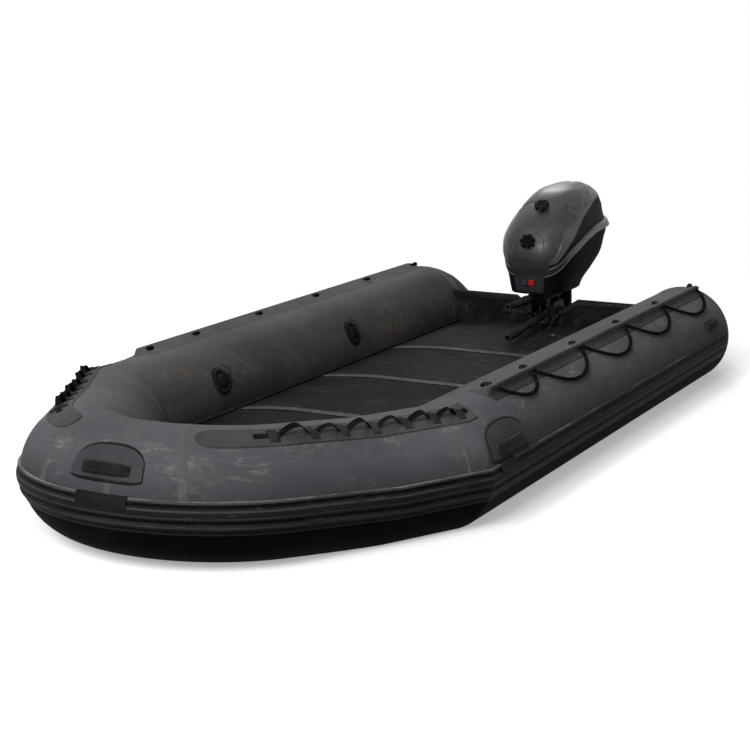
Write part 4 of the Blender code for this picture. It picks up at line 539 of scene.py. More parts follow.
# darker and paler copies of the cover paint: painted shade on the side facet, painted highlights on the
# strip and rib
coverShadePaint = wornFinish("cover paint darkened as painted shade", "paint", colour="#171617", deep="#101010",
    roughness=0.55, shine=0.03, metallic=0.0)
coverHighlightPaint = wornFinish("cover paint lightened as painted highlight", "paint", colour="#4b4a4c", deep="#3a393b")
apronFabric = wornFinish("line apron fabric", "tube", "along", colour="#3c3b39", deep="#2b2a29")
finFabric = wornFinish("fin fabric", "tube", "along", colour="#4b4c4c", deep="#3a3b3c")
coverPlastic = wornFinish("textured black polypropylene", "plastic")
castPaint = wornFinish("black painted aluminium casting", "casting")
steel = wornFinish("stainless steel, dulled", "steel")
webbing = wornFinish("woven polyester webbing", "webbing", "along")
loopCloth = wornFinish("rubbed belt loop", "webbing", "along", colour="#373532", deep="#1f1e1c",
    dustAmount=0.8)
ropeYarn = wornFinish("laid polyester rope", "rope")
knobRubber = wornFinish("black knob rubber", "rubber", colour="#0e0e0f", deep="#080808")
redPlastic = wornFinish("red moulded button", "plastic", colour="#c4231c", deep="#9c1713", dust="#7a2a25",
    scar="#d8685f")
bluePlastic = wornFinish("slate blue moulded button", "plastic", colour="#3b4250", deep="#2a2f3a")
print("materials made")

# the tube's shape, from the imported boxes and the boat's own angles
lowSide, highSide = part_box("tube_port")
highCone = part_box("stern_cone_port")[1]
tube = {
    "radius": (highSide.z - lowSide.z) / 2,
    "height": (highSide.z + lowSide.z) / 2,
    "shoulderY": -1.165,
    "bowAngle": 27.7,
    "noseRadius": 0.48,
    "bowRise": 0.05,
    "riseRun": 0.12,
    "noseSteps": 30,
    "facets": 112,
    # share of the cone's length, share of the radius, share of the toe-in
    "cone": [(0.0, 1.0, 0.0), (0.05, 0.992, 0.14), (0.13, 0.955, 0.38), (0.25, 0.868, 0.66),
             (0.45, 0.7, 0.88), (0.7, 0.5, 1.0), (0.9, 0.345, 1.0), (1.0, 0.2, 1.0)],
    "toeIn": 0.06,
}
tube["offset"] = highSide.x - tube["radius"]
tube["endY"] = highSide.y
tube["coneLength"] = highCone.y - highSide.y


def makeStations():
    turn = math.radians(tube["bowAngle"])
    run = (tube["offset"] - tube["noseRadius"] * math.cos(turn)) / math.sin(turn)
    centreY = tube["shoulderY"] - run * math.cos(turn) + tube["noseRadius"] * math.sin(turn)
    arc = math.pi / 2 - turn
    plan = [(tube["noseRadius"] * math.sin(arc * k / tube["noseSteps"]),
             centreY - tube["noseRadius"] * math.cos(arc * k / tube["noseSteps"]))
            for k in range(tube["noseSteps"] + 1)]
    riseY = centreY + tube["riseRun"]
    plan.append((tube["offset"] - (tube["shoulderY"] - riseY) * math.tan(turn), riseY))
    plan.append((tube["offset"], tube["shoulderY"]))
    plan.append((tube["offset"], tube["endY"]))
    noseY = centreY - tube["noseRadius"]
    found, along = [], 0.0
    for k, (x, y) in enumerate(plan):
        before = plan[k - 1] if k else (-plan[1][0], plan[1][1])
        after = plan[k + 1] if k + 1 < len(plan) else (2 * x - before[0], 2 * y - before[1])
        first = Vector((x - before[0], y - before[1])).normalized()
        second = Vector((after[0] - x, after[1] - y)).normalized()
        middle = (first + second).normalized()
        if k:
            along += (Vector((x, y)) - Vector(before)).length
        share = min(1.0, max(0.0, (riseY - y) / (riseY - noseY)))
        found.append({"along": along, "x": x, "y": y, "z": tube["height"] + tube["bowRise"] * share,
                      "normal": Vector((middle.y, -middle.x)), "stretch": 1 / max(middle.dot(first), 0.5)})
    return found


stations = makeStations()
shoulderAt = stations[-2]["along"]
endAt = stations[-1]["along"]


def sidePlace(y):
    return shoulderAt + y - tube["shoulderY"]


# point on a tube by distance from the middle of the bow, angle up from outboard, and height over the skin
def tubePoint(along, angle, lift=0.0, side=1, straight=False):
    if along < 0:
        along, side = -along, -side
    turn = math.radians(angle)
    if along > endAt:
        share = min(1.0, (along - endAt) / tube["coneLength"])
        rows = tube["cone"]
        k = max(n for n in range(len(rows) - 1) if rows[n][0] <= share + 1e-9)
        part = (share - rows[k][0]) / (rows[k + 1][0] - rows[k][0])
        size = rows[k][1] + (rows[k + 1][1] - rows[k][1]) * part
        toe = rows[k][2] + (rows[k + 1][2] - rows[k][2]) * part
        radius = tube["radius"] * size + lift
        return Vector((side * (tube["offset"] - tube["toeIn"] * toe + radius * math.cos(turn)),
                       tube["endY"] + along - endAt, tube["height"] + radius * math.sin(turn)))
    radius = tube["radius"] + lift
    if straight:
        return Vector((side * (tube["offset"] + radius * math.cos(turn)),
                       tube["shoulderY"] + along - shoulderAt, tube["height"] + radius * math.sin(turn)))
    k = 0
    while k < len(stations) - 2 and stations[k + 1]["along"] < along:
        k += 1
    first, second = stations[k], stations[k + 1]
    share = (along - first["along"]) / (second["along"] - first["along"])
    ends = []
    for station in (first, second):
        reach = radius * math.cos(turn) * station["stretch"]
        ends.append(Vector((station["x"] + station["normal"].x * reach,
                            station["y"] + station["normal"].y * reach,
                            station["z"] + radius * math.sin(turn))))
    point = ends[0].lerp(ends[1], share)
    point.x *= side
    return point


def alongPlaces(start, end, step, extra=()):
    count = max(1, round((end - start) / step))
    places = {round(place, 5) for place in evenly(start, end, count)}
    for place in (shoulderAt, endAt, stations[-3]["along"]):
        places.update(round(signed, 5) for signed in (place, -place) if start < signed < end)
    places.update(round(place, 5) for place in extra if start < place < end)
    kept = []
    for place in sorted(places):
        if not kept or place - kept[-1] > 0.0012:
            kept.append(place)
    return kept


# rows of (along, angle, lift) laid on the tube, with the UV map "along" in metres
def wrap(meshData, rows, side=1, straight=False, roll=False):
    uv = meshData.loops.layers.uv.get("along") or meshData.loops.layers.uv.new("along")
    grid = [[(meshData.verts.new(tubePoint(along, angle, lift, side, straight)), along, angle)
             for along, angle, lift in row] for row in rows]
    for first, second in zip(grid[:-1], grid[1:]):
        count = len(first)
        for k in range(count):
            n = (k + 1) % count
            corners = [first[k], first[n], second[n], second[k]]
            face = meshData.faces.new([corner[0] for corner in corners])
            for loop, corner in zip(face.loops, corners):
                angle = corner[2]
                if roll and n == 0 and corner in (first[n], second[n]):
                    angle += 360
                loop[uv].uv = (corner[1] * side, math.radians(angle) * tube["radius"])
    for ring in (grid[0], grid[-1]):
        face = meshData.faces.new([corner[0] for corner in ring])
        for loop, corner in zip(face.loops, ring):
            loop[uv].uv = (corner[1] * side, math.radians(corner[2]) * tube["radius"])


# closed band on the tube: sections of (angle, height) over a foot
def band(meshData, places, section, side=1, straight=False, foot=0.0):
    rows = []
    for place in places:
        outline = section(place)
        under = [(outline[0][0] + (outline[-1][0] - outline[0][0]) * n / 8, foot) for n in range(1, 8)]
        rows.append([(place, angle, height) for angle, height in [*outline, *reversed(under)]])
    wrap(meshData, rows, side, straight)


# air tubes in one skin, with soft folds where the bow's mitres pull the cloth
fold = {"depth": 0.0035, "reach": 0.05, "dip": 0.004, "dipReach": 0.012, "least": 0.35, "most": 0.65,
        "folds": 9, "swirl": 1.7, "share": 0.6}


def tubeLift(along, angle):
    distance = abs(abs(along) - shoulderAt)
    inner = max(0.0, -math.cos(math.radians(angle)))
    lift = -fold["dip"] * math.exp(-(distance / fold["dipReach"]) ** 2) * (fold["least"]
        + fold["most"] * inner)
    wave = math.sin(math.radians(angle) * fold["folds"] + fold["swirl"] * along)
    wave *= math.exp(-(distance / fold["reach"]) ** 2)
    return lift + fold["depth"] * wave * inner * fold["share"]


def buildTubes():
    meshData = bmesh.new()
    limit = endAt + tube["coneLength"]
    extra = [signed * place for signed in (1, -1)
             for place in [endAt + tube["coneLength"] * row[0] for row in tube["cone"]]
             + [shoulderAt + 0.008 * n for n in range(-8, 9) if n]]
    rows = [[(along, 360 * k / tube["facets"], tubeLift(along, 360 * k / tube["facets"]))
             for k in range(tube["facets"])] for along in alongPlaces(-limit, limit, 0.024, extra)]
    wrap(meshData, rows, roll=True)
    uv = meshData.loops.layers.uv["along"]
    # faces below the strake take the near black paint, painted shade of the tube's underside
    for face in meshData.faces:
        turn = math.degrees(sum(loop[uv].uv.y for loop in face.loops) / len(face.loops) / tube["radius"])
        face.material_index = 1 if tubeWearAndShade["underShadeFrom"] < turn < tubeWearAndShade["underShadeTo"] else 0
    finish("air_tubes", meshData, [tubeFabric, underShadeFabric], 60, "hull", "tube_fabric", "tube_bow",
        "tube_port", "tube_starboard", "stern_cone_port", "stern_cone_starboard")
    print("tubes made")


# tapes glued over the tube's seams: place along at the tube's side and at its top, width
seamTapes = {"section": [(-1.0, 0.0), (-0.86, 0.0011), (0.0, 0.0013), (0.86, 0.0011), (1.0, 0.0),
    (0.6, -0.004), (-0.6, -0.004)], "rows": [(0.205, 0.185, 0.022), (-0.215, -0.19, 0.022),
    (0.012, 0.03, 0.02), (1.19, 1.17, 0.009), (-1.19, -1.17, 0.009),
    (endAt + 0.004, endAt + 0.004, 0.046), (-endAt - 0.004, -endAt - 0.004, 0.046)], "from": -20.5,
    "to": 208.0}


def buildTapes():
    meshData = bmesh.new()
    for low, high, width in seamTapes["rows"]:
        rows = []
        for angle in evenly(seamTapes["from"], seamTapes["to"], 72):
            middle = low + (high - low) * math.sin(math.radians(max(0, min(angle, 180) * 0.5))) ** 2 * 2
            row = []
            for share, height in seamTapes["section"]:
                place = middle + share * width / 2
                row.append((place, angle, height + max(0.0, tubeLift(place, angle))))
            rows.append(row)
        wrap(meshData, rows)
    finish("seam_tapes", meshData, seamFabric, 60, "hull", "tube_fabric")
    print("tapes made")


# extruded strake: two beads beside a wide rib; angle, height over the tube
strake = {"endY": 1.87, "section": [(9.2, 0.0), (9.0, 0.003), (8.6, 0.0085), (7.9, 0.0108), (7.0, 0.0112),
    (6.3, 0.01), (5.7, 0.0062), (5.0, 0.0047), (3.9, 0.0047), (3.2, 0.0072), (2.7, 0.0118), (1.8, 0.0142),
    (0.2, 0.0155), (-2.0, 0.016), (-4.4, 0.0155), (-5.9, 0.014), (-6.7, 0.0115), (-7.3, 0.0068),
    (-8.2, 0.0047), (-9.8, 0.0047), (-10.5, 0.007), (-11.1, 0.0102), (-12.2, 0.0112), (-13.8, 0.0112),
    (-14.8, 0.0098), (-15.5, 0.0058), (-16.4, 0.0038), (-18.5, 0.0034), (-20.6, 0.0028), (-21.2, 0.0)]}


def buildStrake():
    meshData = bmesh.new()
    end = sidePlace(strake["endY"])
    section = list(reversed(strake["section"]))
    places = alongPlaces(-end, end, 0.03, [end - 0.004, 0.004 - end, end - 0.015, 0.015 - end])

    def shape(place):
        # the ends are cut square with a softened edge
        rest = max(0.0, (end - abs(place)) / 0.015)
        keep = 0.8 + 0.2 * math.sqrt(min(1.0, rest))
        return [(angle, height * keep) for angle, height in section]

    band(meshData, places, shape, foot=-0.001)
    finish("rubbing_strake", meshData, strakeRubber, 45, "hull", "black_rubber", "strake_bow",
        "strake_port", "strake_starboard")
    print("strake made")


# round pad on a tube: rings of (radius, height)
def disc(meshData, middle, angle, side, rings):
    rows = []
    for radius, height in rings:
        row = []
        for turn in roundTurns(40):
            row.append((middle + radius * math.cos(turn),
                        angle + math.degrees(radius * math.sin(turn) / tube["radius"]), height))
        rows.append(row)
    wrap(meshData, rows, side, middle > 0.9)


# moulded handles: a rimmed patch and a grip that bridges it
# half length, degrees below and above the grip, squareness of the crown, half length of the grip
patches = {"bow": (0.105, 11.0, 25.0, 2.6, 0.07), "side": (0.18, 11.0, 25.0, 2.6, 0.115),
           "plain": (0.085, 6.5, 6.5, 12.0, 0.07)}
handle = {
    "rows": [("carry_handle_bow", 0.0, 1, 30.0, "bow"), ("carry_handle_port_fore", -1.02, 1, 22.0, "side"),
             ("carry_handle_port_aft", 1.66, 1, 25.0, "plain"),
             ("carry_handle_starboard_fore", -1.02, -1, 22.0, "side"),
             ("carry_handle_starboard_aft", 1.66, -1, 25.0, "plain")],
    "thick": 0.004, "rim": 0.003, "rimWidth": 0.011, "gripWidth": 9.0, "gripSquare": 3.2, "steps": 44,
    "columns": 24,
    # from the grip's end, underside and top over the tube
    "grip": [(0.0, -0.001, 0.0085), (0.004, -0.001, 0.015), (0.01, -0.001, 0.021), (0.017, 0.004, 0.0275),
             (0.024, 0.013, 0.0315), (0.034, 0.0185, 0.0345), (0.046, 0.02, 0.0355)],
}


# splice pads: middle and half length, then angle and height over the strake
splice = {"rows": [(0.0, 0.072), (sidePlace(-1.02), 0.06), (-sidePlace(-1.02), 0.06)],
    "section": [(10.2, 0.002), (9.8, 0.012), (9.0, 0.015), (6.5, 0.0165), (1.6, 0.0185), (0.6, 0.0175),
    (0.0, 0.014)]}


def patchLift(toSide, toEnd):
    inside = min(toSide, toEnd)
    rim = math.exp(-((inside - handle["rimWidth"] * 0.5) / (handle["rimWidth"] * 0.36)) ** 2)
    return handle["thick"] * smoothStep(inside, -0.001, 0.004) + handle["rim"] * rim


def buildHandles():
    for name, place, side, angle, kind in handle["rows"]:
        half, below, above, power, gripHalf = patches[kind]
        middle = sidePlace(place) if place else 0.0
        straight = kind != "bow"
        meshData = bmesh.new()
        rows = []
        for n in range(handle["steps"] + 1):
            share = -1 + 2 * n / handle["steps"]
            share = math.copysign(1 - (1 - abs(share)) ** 1.6, share)
            share *= 0.9995
            low = angle - below * (1 - 0.25 * abs(share) ** 8)
            high = angle + above * (0.12 + 0.88 * max(0.0, 1 - abs(share) ** power) ** 0.5)
            if kind == "plain":
                low, high = angle - below, angle + above
            toEnd = half * (1 - abs(share))
            row = []
            for turn in evenly(low, high, handle["columns"]):
                toSide = math.radians(min(turn - low, high - turn)) * tube["radius"]
                row.append((middle + half * share, turn, patchLift(toSide, toEnd)))
            row += [(middle + half * share, high - (high - low) * k / 6, -0.002) for k in range(1, 6)]
            rows.append(row)
        wrap(meshData, rows, side, straight)
        # rim of the patch: the outer columns and the end rows
        for k, face in enumerate(meshData.faces):
            row, column = divmod(k, handle["columns"] + 6)
            outer = column in (0, 1, handle["columns"] - 2, handle["columns"] - 1)
            outer = outer or row in (0, 1, handle["steps"] - 2, handle["steps"] - 1)
            face.material_index = 1 if outer else 0
        patchFaces = len(meshData.faces)

        table = handle["grip"]
        section = [(-gripHalf + place, low, high) for place, low, high in table]
        section += [(gripHalf - place, low, high) for place, low, high in reversed(table)]
        rows = []
        for place, low, high in section:
            row = []
            for across, up in roundedOutline(handle["gripWidth"] / 2, (high - low) / 2,
                    handle["gripSquare"], 20):
                row.append((middle + place, angle + across, (low + high) / 2 + up))
            rows.append(row)
        wrap(meshData, rows, side, straight)
        meshData.faces.ensure_lookup_table()
        for face in meshData.faces[patchFaces:]:
            face.material_index = 2
        finish(name + "_moulded", meshData, [patchFabric, sheetRubber, gripRubber], 50, "hull",
            "black_rubber", name)
    # splice pads where the strake's ends meet, at the bow and under each shoulder
    meshData = bmesh.new()
    for middle, half in splice["rows"]:
        places = [middle + half * share for share in (-1.0, -0.97, -0.5, 0.0, 0.5, 0.97, 1.0)]

        def shape(place):
            keep = 0.6 if abs(abs(place - middle) - half) < 0.001 else 1.0
            return [(turn, height * keep) for turn, height in reversed(splice["section"])]

        band(meshData, places, shape, foot=0.002)
    finish("strake_splices", meshData, sheetRubber, 50, "hull", "black_rubber")
    print("handles made")


# Geometry Nodes: laid rope of three strands twisted along a curve
rope = {"radius": 0.0082, "pitch": 0.034, "step": 0.0045, "sides": 7, "strandShare": 0.56, "offset": 0.47}


def startTree(name, sizes):
    tree = bpy.data.node_groups.new(name, "GeometryNodeTree")
    tree.interface.new_socket("Geometry", in_out="INPUT", socket_type="NodeSocketGeometry")
    for label, value in sizes.items():
        tree.interface.new_socket(label, in_out="INPUT", socket_type="NodeSocketFloat").default_value = value
    tree.interface.new_socket("Geometry", in_out="OUTPUT", socket_type="NodeSocketGeometry")
    return tree, addNode(tree, "NodeGroupInput").outputs


def endTree(tree, made, material):
    whole = addNode(tree, "GeometryNodeRealizeInstances", {"Geometry": made})
    dressed = addNode(tree, "GeometryNodeSetMaterial", {"Geometry": whole, "Material": material})
    addNode(tree, "NodeGroupOutput", {"Geometry": dressed})
    return tree


def times(tree, value, share):
    return value if share == 1 else combine(tree, value, share, clamp=False)


def makeRopeTree(material):
    tree, given = startTree("laid rope", {"Radius": rope["radius"], "Pitch": rope["pitch"],
        "Step": rope["step"]})
    path = addNode(tree, "GeometryNodeResampleCurve", {"Curve": given["Geometry"], "Length": given["Step"]},
                   mode="LENGTH")
    along = addNode(tree, "GeometryNodeSplineParameter").outputs["Length"]
    tilt = times(tree, combine(tree, along, given["Pitch"], "DIVIDE", False), 2 * math.pi)
    twisted = addNode(tree, "GeometryNodeSetCurveTilt", {"Curve": path, "Tilt": tilt})
    strandRadius = times(tree, given["Radius"], rope["strandShare"])
    reach = times(tree, given["Radius"], rope["offset"])
    strand = addNode(tree, "GeometryNodeCurvePrimitiveCircle", {"Resolution": rope["sides"],
                                                               "Radius": strandRadius})
    strands = addNode(tree, "GeometryNodeJoinGeometry")
    for turn in roundTurns(3):
        aim = addNode(tree, "ShaderNodeCombineXYZ", {"X": math.cos(turn), "Y": math.sin(turn)})
        shift = addNode(tree, "ShaderNodeVectorMath", {0: aim, "Scale": reach}, operation="SCALE")
        moved = addNode(tree, "GeometryNodeTransform", {"Geometry": strand, "Translation": shift})
        tree.links.new(moved.outputs[0], strands.inputs[0])
    body = addNode(tree, "GeometryNodeCurveToMesh", {"Curve": twisted, "Profile Curve": strands,
                                                     "Fill Caps": True})
    return endTree(tree, body, material)


# screws are a low domed head on a washer, bolts six-sided on a plate
# stacked cones: sides, then shares of the radius at top and bottom and of the height
heads = {"screw": [(16, 1, 1, 0.35), (16, 0.42, 0.74, 1)], "bolt": [(6, 0.92, 1, 1), (20, 1.35, 1.4, 0.25)]}


# Geometry Nodes: one small shape on each vertex of a mesh, turned to the attributes "outward" and "course"
def makeScatterTree(name, shape, material):
    tree, given = startTree(name, {"Radius": 0.005, "Height": 0.005})
    radius, height = given["Radius"], given["Height"]
    if shape in heads:
        made = addNode(tree, "GeometryNodeJoinGeometry")
        for sides, top, bottom, depth in heads[shape]:
            cone = addNode(tree, "GeometryNodeMeshCone", {
                "Vertices": sides, "Radius Top": times(tree, radius, top),
                "Radius Bottom": times(tree, radius, bottom), "Depth": times(tree, height, depth)})
            tree.links.new(cone.outputs[0], made.inputs[0])
    elif shape == "grommet":
        ring = addNode(tree, "GeometryNodeCurvePrimitiveCircle", {"Resolution": 22, "Radius": radius})
        wire = addNode(tree, "GeometryNodeCurvePrimitiveCircle", {"Resolution": 8, "Radius": height})
        made = addNode(tree, "GeometryNodeCurveToMesh", {"Curve": ring, "Profile Curve": wire})
    else:
        # a stitch: a short length of thread
        ball = addNode(tree, "GeometryNodeMeshUVSphere", {"Segments": 6, "Rings": 5, "Radius": height})
        longer = combine(tree, radius, height, "DIVIDE", False)
        size = addNode(tree, "ShaderNodeCombineXYZ", {"X": longer, "Y": 1.0, "Z": 1.0})
        made = addNode(tree, "GeometryNodeTransform", {"Geometry": ball, "Scale": size})
    outward, course = (addNode(tree, "GeometryNodeInputNamedAttribute", {"Name": label},
        data_type="FLOAT_VECTOR").outputs["Attribute"] for label in ("outward", "course"))
    up = addNode(tree, "FunctionNodeAlignRotationToVector", {"Vector": outward}, axis="Z")
    turn = addNode(tree, "FunctionNodeAlignRotationToVector", {"Rotation": up, "Vector": course}, axis="X",
                   pivot_axis="Z")
    placed = addNode(tree, "GeometryNodeInstanceOnPoints", {"Points": given["Geometry"], "Instance": made,
                                                            "Rotation": turn})
    return endTree(tree, placed, material)


# put a tree on a piece with its named sizes, and keep the result as plain mesh
def growWith(piece, tree, sharp=40, **sizes):
    modifier = piece.modifiers.new(tree.name, "NODES")
    modifier.node_group = tree
    for item in tree.interface.items_tree:
        if item.item_type == "SOCKET" and item.in_out == "INPUT" and item.name in sizes:
            modifier[item.identifier] = sizes[item.name]
    return applyModifiers(piece, sharp)


# spots of (place, outward, course)
def scatter(name, tree, spots, body, slot, sharp=40, **sizes):
    mesh = bpy.data.meshes.new(name)
    mesh.from_pydata([spot[0] for spot in spots], [], [])
    for column, label in ((1, "outward"), (2, "course")):
        layer = mesh.attributes.new(label, "FLOAT_VECTOR", "POINT")
        for k, spot in enumerate(spots):
            layer.data[k].vector = spot[column]
    piece = bpy.data.objects.new(name, mesh)
    bpy.context.scene.collection.objects.link(piece)
    return settle(growWith(piece, tree, sharp, **sizes), body, slot)


ropeTree = makeRopeTree(ropeYarn)
screwTree = makeScatterTree("screws", "screw", steel)
boltTree = makeScatterTree("hexagon bolts", "bolt", steel)
grommetTree = makeScatterTree("grommets", "grommet", rubber)
stitchTree = makeScatterTree("stitches", "stitch", webbing)
print("node trees made")


# fin along the top of each side tube, its eyes, and the line woven through them
flange = {"front": -0.88, "aft": 1.915, "slope": 0.035, "angle": 74.0, "foot": 0.003,
    "section": [(61.8, 0.0), (62.3, 0.0018), (63.6, 0.003), (69.8, 0.0032), (71.0, 0.0062), (72.0, 0.0175),
    (72.7, 0.0272), (73.3, 0.0303), (74.2, 0.031), (75.1, 0.0298), (77.6, 0.0235), (81.8, 0.015),
    (86.0, 0.0075), (89.2, 0.0036), (91.5, 0.0022), (92.2, 0.0)], "eyeFirst": -0.8, "eyeFirstStep": 0.38,
    "eyeStep": 0.573, "eyes": 6, "spread": 0.034, "level": 0.016, "drop": 0.11, "lineRadius": 0.0078,
          # the line's way through its eyes: over the fin, inboard and outboard of it, the corner it rounds
          "over": 0.04, "inner": 0.032, "outer": -0.016, "corner": 0.009,
          # between them it hangs down the tube and lies a little off it, more at the eyes
          "hang": 0.022, "rest": 0.0015, "endRest": 0.004,
          "eyeOuter": 0.0082, "eyeInner": 0.03, "eyeRadius": 0.0092, "eyeThick": 0.0026}


bothSides = ((1, "port"), (-1, "starboard"))


def eyePlaces():
    first = flange["eyeFirst"]
    return [first] + [first + flange["eyeFirstStep"] + flange["eyeStep"] * k
        for k in range(flange["eyes"] - 1)]


def finFrame(side):
    turn = math.radians(flange["angle"])
    out = Vector((side * math.cos(turn), 0, math.sin(turn)))
    inboard = Vector((-side * math.sin(turn), 0, math.cos(turn)))
    return Vector((side * tube["offset"], 0, tube["height"])) + out * tube["radius"], out, inboard


def lineRoute(side):
    root, out, inboard = finFrame(side)
    eyes, half = eyePlaces(), flange["spread"] / 2

    def byFin(y, across):
        return root + out * flange["level"] + inboard * across + Vector((0, y, 0))

    route = []
    for k, middle in enumerate(eyes):
        first, second = middle - half, middle + half
        if k:
            route += [byFin(first, flange["outer"]), byFin(first, flange["inner"])]
        route.append(byFin(first + flange["corner"] if k else first, flange["over"]))
        route.append(byFin(second - flange["corner"] if k < len(eyes) - 1 else second, flange["over"]))
        if k == len(eyes) - 1:
            break
        route += [byFin(second, flange["inner"]), byFin(second, flange["outer"])]
        end = eyes[k + 1] - half
        for n in range(1, 10):
            share = n / 10
            drop = flange["hang"] + flange["drop"] * (1 - abs(2 * share - 1) ** 2.2) * min(1.0,
                (end - second) / 0.5)
            turn = math.radians(flange["angle"]) - drop / tube["radius"]
            lift = flange["lineRadius"] + flange["foot"] + flange["rest"]
            lift += flange["endRest"] * max(0.0, abs(2 * share - 1) - 0.7)
            radius = tube["radius"] + lift
            route.append(Vector((side * (tube["offset"] + radius * math.cos(turn)),
                                 second + (end - second) * share,
                                 tube["height"] + radius * math.sin(turn))))
    return route


def makeCurve(name, route, radius=0.0, material=None):
    curve = bpy.data.curves.new(name, "CURVE")
    curve.dimensions = "3D"
    spline = curve.splines.new("POLY")
    spline.points.add(len(route) - 1)
    for spot, point in zip(spline.points, route):
        spot.co = (*point, 1.0)
    curve.bevel_depth = radius
    curve.bevel_resolution = 4
    curve.use_fill_caps = True
    if material:
        curve.materials.append(material)
    piece = bpy.data.objects.new(name, curve)
    bpy.context.scene.collection.objects.link(piece)
    return piece


# stopper knots: radius of a turn and half its thickness
knot = {"reach": 0.0066, "thick": 0.0048}


def buildLifelines():
    for side, word in bothSides:
        start, end = sidePlace(flange["front"]), sidePlace(flange["aft"])
        meshData = bmesh.new()
        near = [start + 0.004 * k for k in range(1, 10)] + [end - 0.004 * k for k in range(1, 10)]

        def shape(place):
            rise = smoothStep(min(place - start, end - place), 0.0, flange["slope"])
            return [(turn, min(height, flange["foot"]) + max(0.0, height - flange["foot"]) * rise)
                    for turn, height in flange["section"]]

        band(meshData, alongPlaces(start, end, 0.03, near), shape, side, True, -0.001)
        # dark apron outboard, a rubbed ridge, and cloth like the tube's inboard
        for face in meshData.faces:
            middle = face.calc_center_median()
            turn = math.degrees(math.atan2(middle.z - tube["height"], abs(middle.x) - tube["offset"]))
            face.material_index = 0 if turn < 71.5 else 1 if turn < 75.5 else 2
        finish("fin_" + word, meshData, [apronFabric, padFabric, finFabric], 45, "hull", "tube_fabric",
            "lifeline_flange_" + word)
        root, out, inboard = finFrame(side)
        spots = []
        for middle in eyePlaces():
            for y in (middle - flange["spread"] / 2, middle + flange["spread"] / 2):
                hole = root + out * flange["level"] + Vector((0, y, 0))
                spots.append((hole - inboard * flange["eyeOuter"], -inboard, (0, 1, 0)))
                spots.append((hole + inboard * flange["eyeInner"], inboard, (0, 1, 0)))
        scatter("line_eyes_" + word, grommetTree, spots, "hull", "black_rubber", 60,
            Radius=flange["eyeRadius"], Height=flange["eyeThick"])
        line = makeCurve("lifeline_rope_" + word, smoothRoute(lineRoute(side), 760))
        line = growWith(line, ropeTree, 60, Radius=rope["radius"], Pitch=rope["pitch"], Step=rope["step"])
        settle(line, "hull", "rope", "lifeline_" + word)
        # stopper knots at both ends of the line
        meshData = bmesh.new()
        for place in (lineRoute(side)[0], lineRoute(side)[-1]):
            for turn in (0, 1, 2):
                aim = Vector((0.3 * math.sin(2.1 * turn), 1, 0.3 * math.cos(2.1 * turn))).normalized()
                ringSide, ringOther = crossAxes(aim)
                rows = []
                for bend in roundTurns(20):
                    away = ringSide * math.cos(bend) + ringOther * math.sin(bend)
                    rows.append([place + aim * (turn - 1) * knot["reach"]
                                 + away * (knot["reach"] + knot["thick"] * math.cos(b))
                                 + aim * knot["thick"] * math.sin(b) for b in roundTurns(8)])
                loft(meshData, rows + [rows[0]], False)
        bmesh.ops.remove_doubles(meshData, verts=meshData.verts, dist=1e-6)
        finish("line_knots_" + word, meshData, ropeYarn, 60, "hull", "rope")
    print("lifelines made")


# lashing strips on the bow: a long pad with belt loops, and webbing that arches between them
lash = {"start": 0.225, "end": 1.36, "angle": 68.0, "half": 12.5, "thick": 0.004, "noseLength": 0.07,
        # the pad's section: share of its half width, height
        "pad": [(-1.0, 0.0), (-0.97, 0.003), (-0.93, 0.0052), (-0.88, 0.0042), (0.0, 0.0042),
                (0.88, 0.0042), (0.93, 0.0052), (0.97, 0.003), (1.0, 0.0)],
        "loopFirst": 0.47, "loopStep": 0.136, "loops": 7, "loopWidth": 0.034, "loopThick": 0.0036,
        # half a loop's section: degrees from its middle with a height, then with a share of its thickness
        "loopFoot": [(8.4, 0.004), (8.1, 0.0068), (5.8, 0.0074)], "loopTop": [(4.2, 0.6), (3.4, 1.0)],
        "loopCrown": 0.001, "loopClear": 0.0012,
        # along a loop: share of its half width, share of its height
        "loopEnds": [(-1.0, 0.75), (-0.92, 1.0), (0.0, 1.03), (0.92, 1.0), (1.0, 0.75)],
        # each loop stands a little off the even spacing and a little askew
        "loopShift": [-0.006, 0.012, 0.012, 0.014, 0.012, 0.002, -0.02],
        "loopLean": [0.004, -0.003, 0.002, 0.0, -0.004, 0.003, 0.001],
        "webWidth": 5.4, "webThick": 0.0038, "webFore": 0.07, "webAft": 0.05,
        # the webbing's section: share of its half width, share of its thickness
        "web": [(-1.0, 0.3), (-0.94, 0.0), (-0.3, 0.0), (0.3, 0.0), (0.94, 0.0), (1.0, 0.3), (1.0, 0.7),
                (0.94, 1.0), (0.3, 1.0), (-0.3, 1.0), (-0.94, 1.0), (-1.0, 0.7)],
        # where it arches it sways, tips, curls and narrows
        "arch": [0.033, 0.027, 0.036, 0.03, 0.034, 0.03], "sway": 0.9, "tip": 0.004, "curl": 0.003,
        "narrow": 0.16,
        "stitchTurns": (-7.6, -6.2, 6.2, 7.6), "stitchStep": 0.0052, "stitchLift": 0.0073}


def loopPlaces():
    return [lash["loopFirst"] + lash["loopStep"] * k + shift for k, shift in enumerate(lash["loopShift"])]


def webHeight(place):
    loops = loopPlaces()
    for k, rise in enumerate(lash["arch"]):
        first, second = loops[k] + lash["loopWidth"] * 0.5, loops[k + 1] - lash["loopWidth"] * 0.5
        if first < place < second:
            return rise * math.sin(math.pi * (place - first) / (second - first)) ** 0.9
    return 0.0


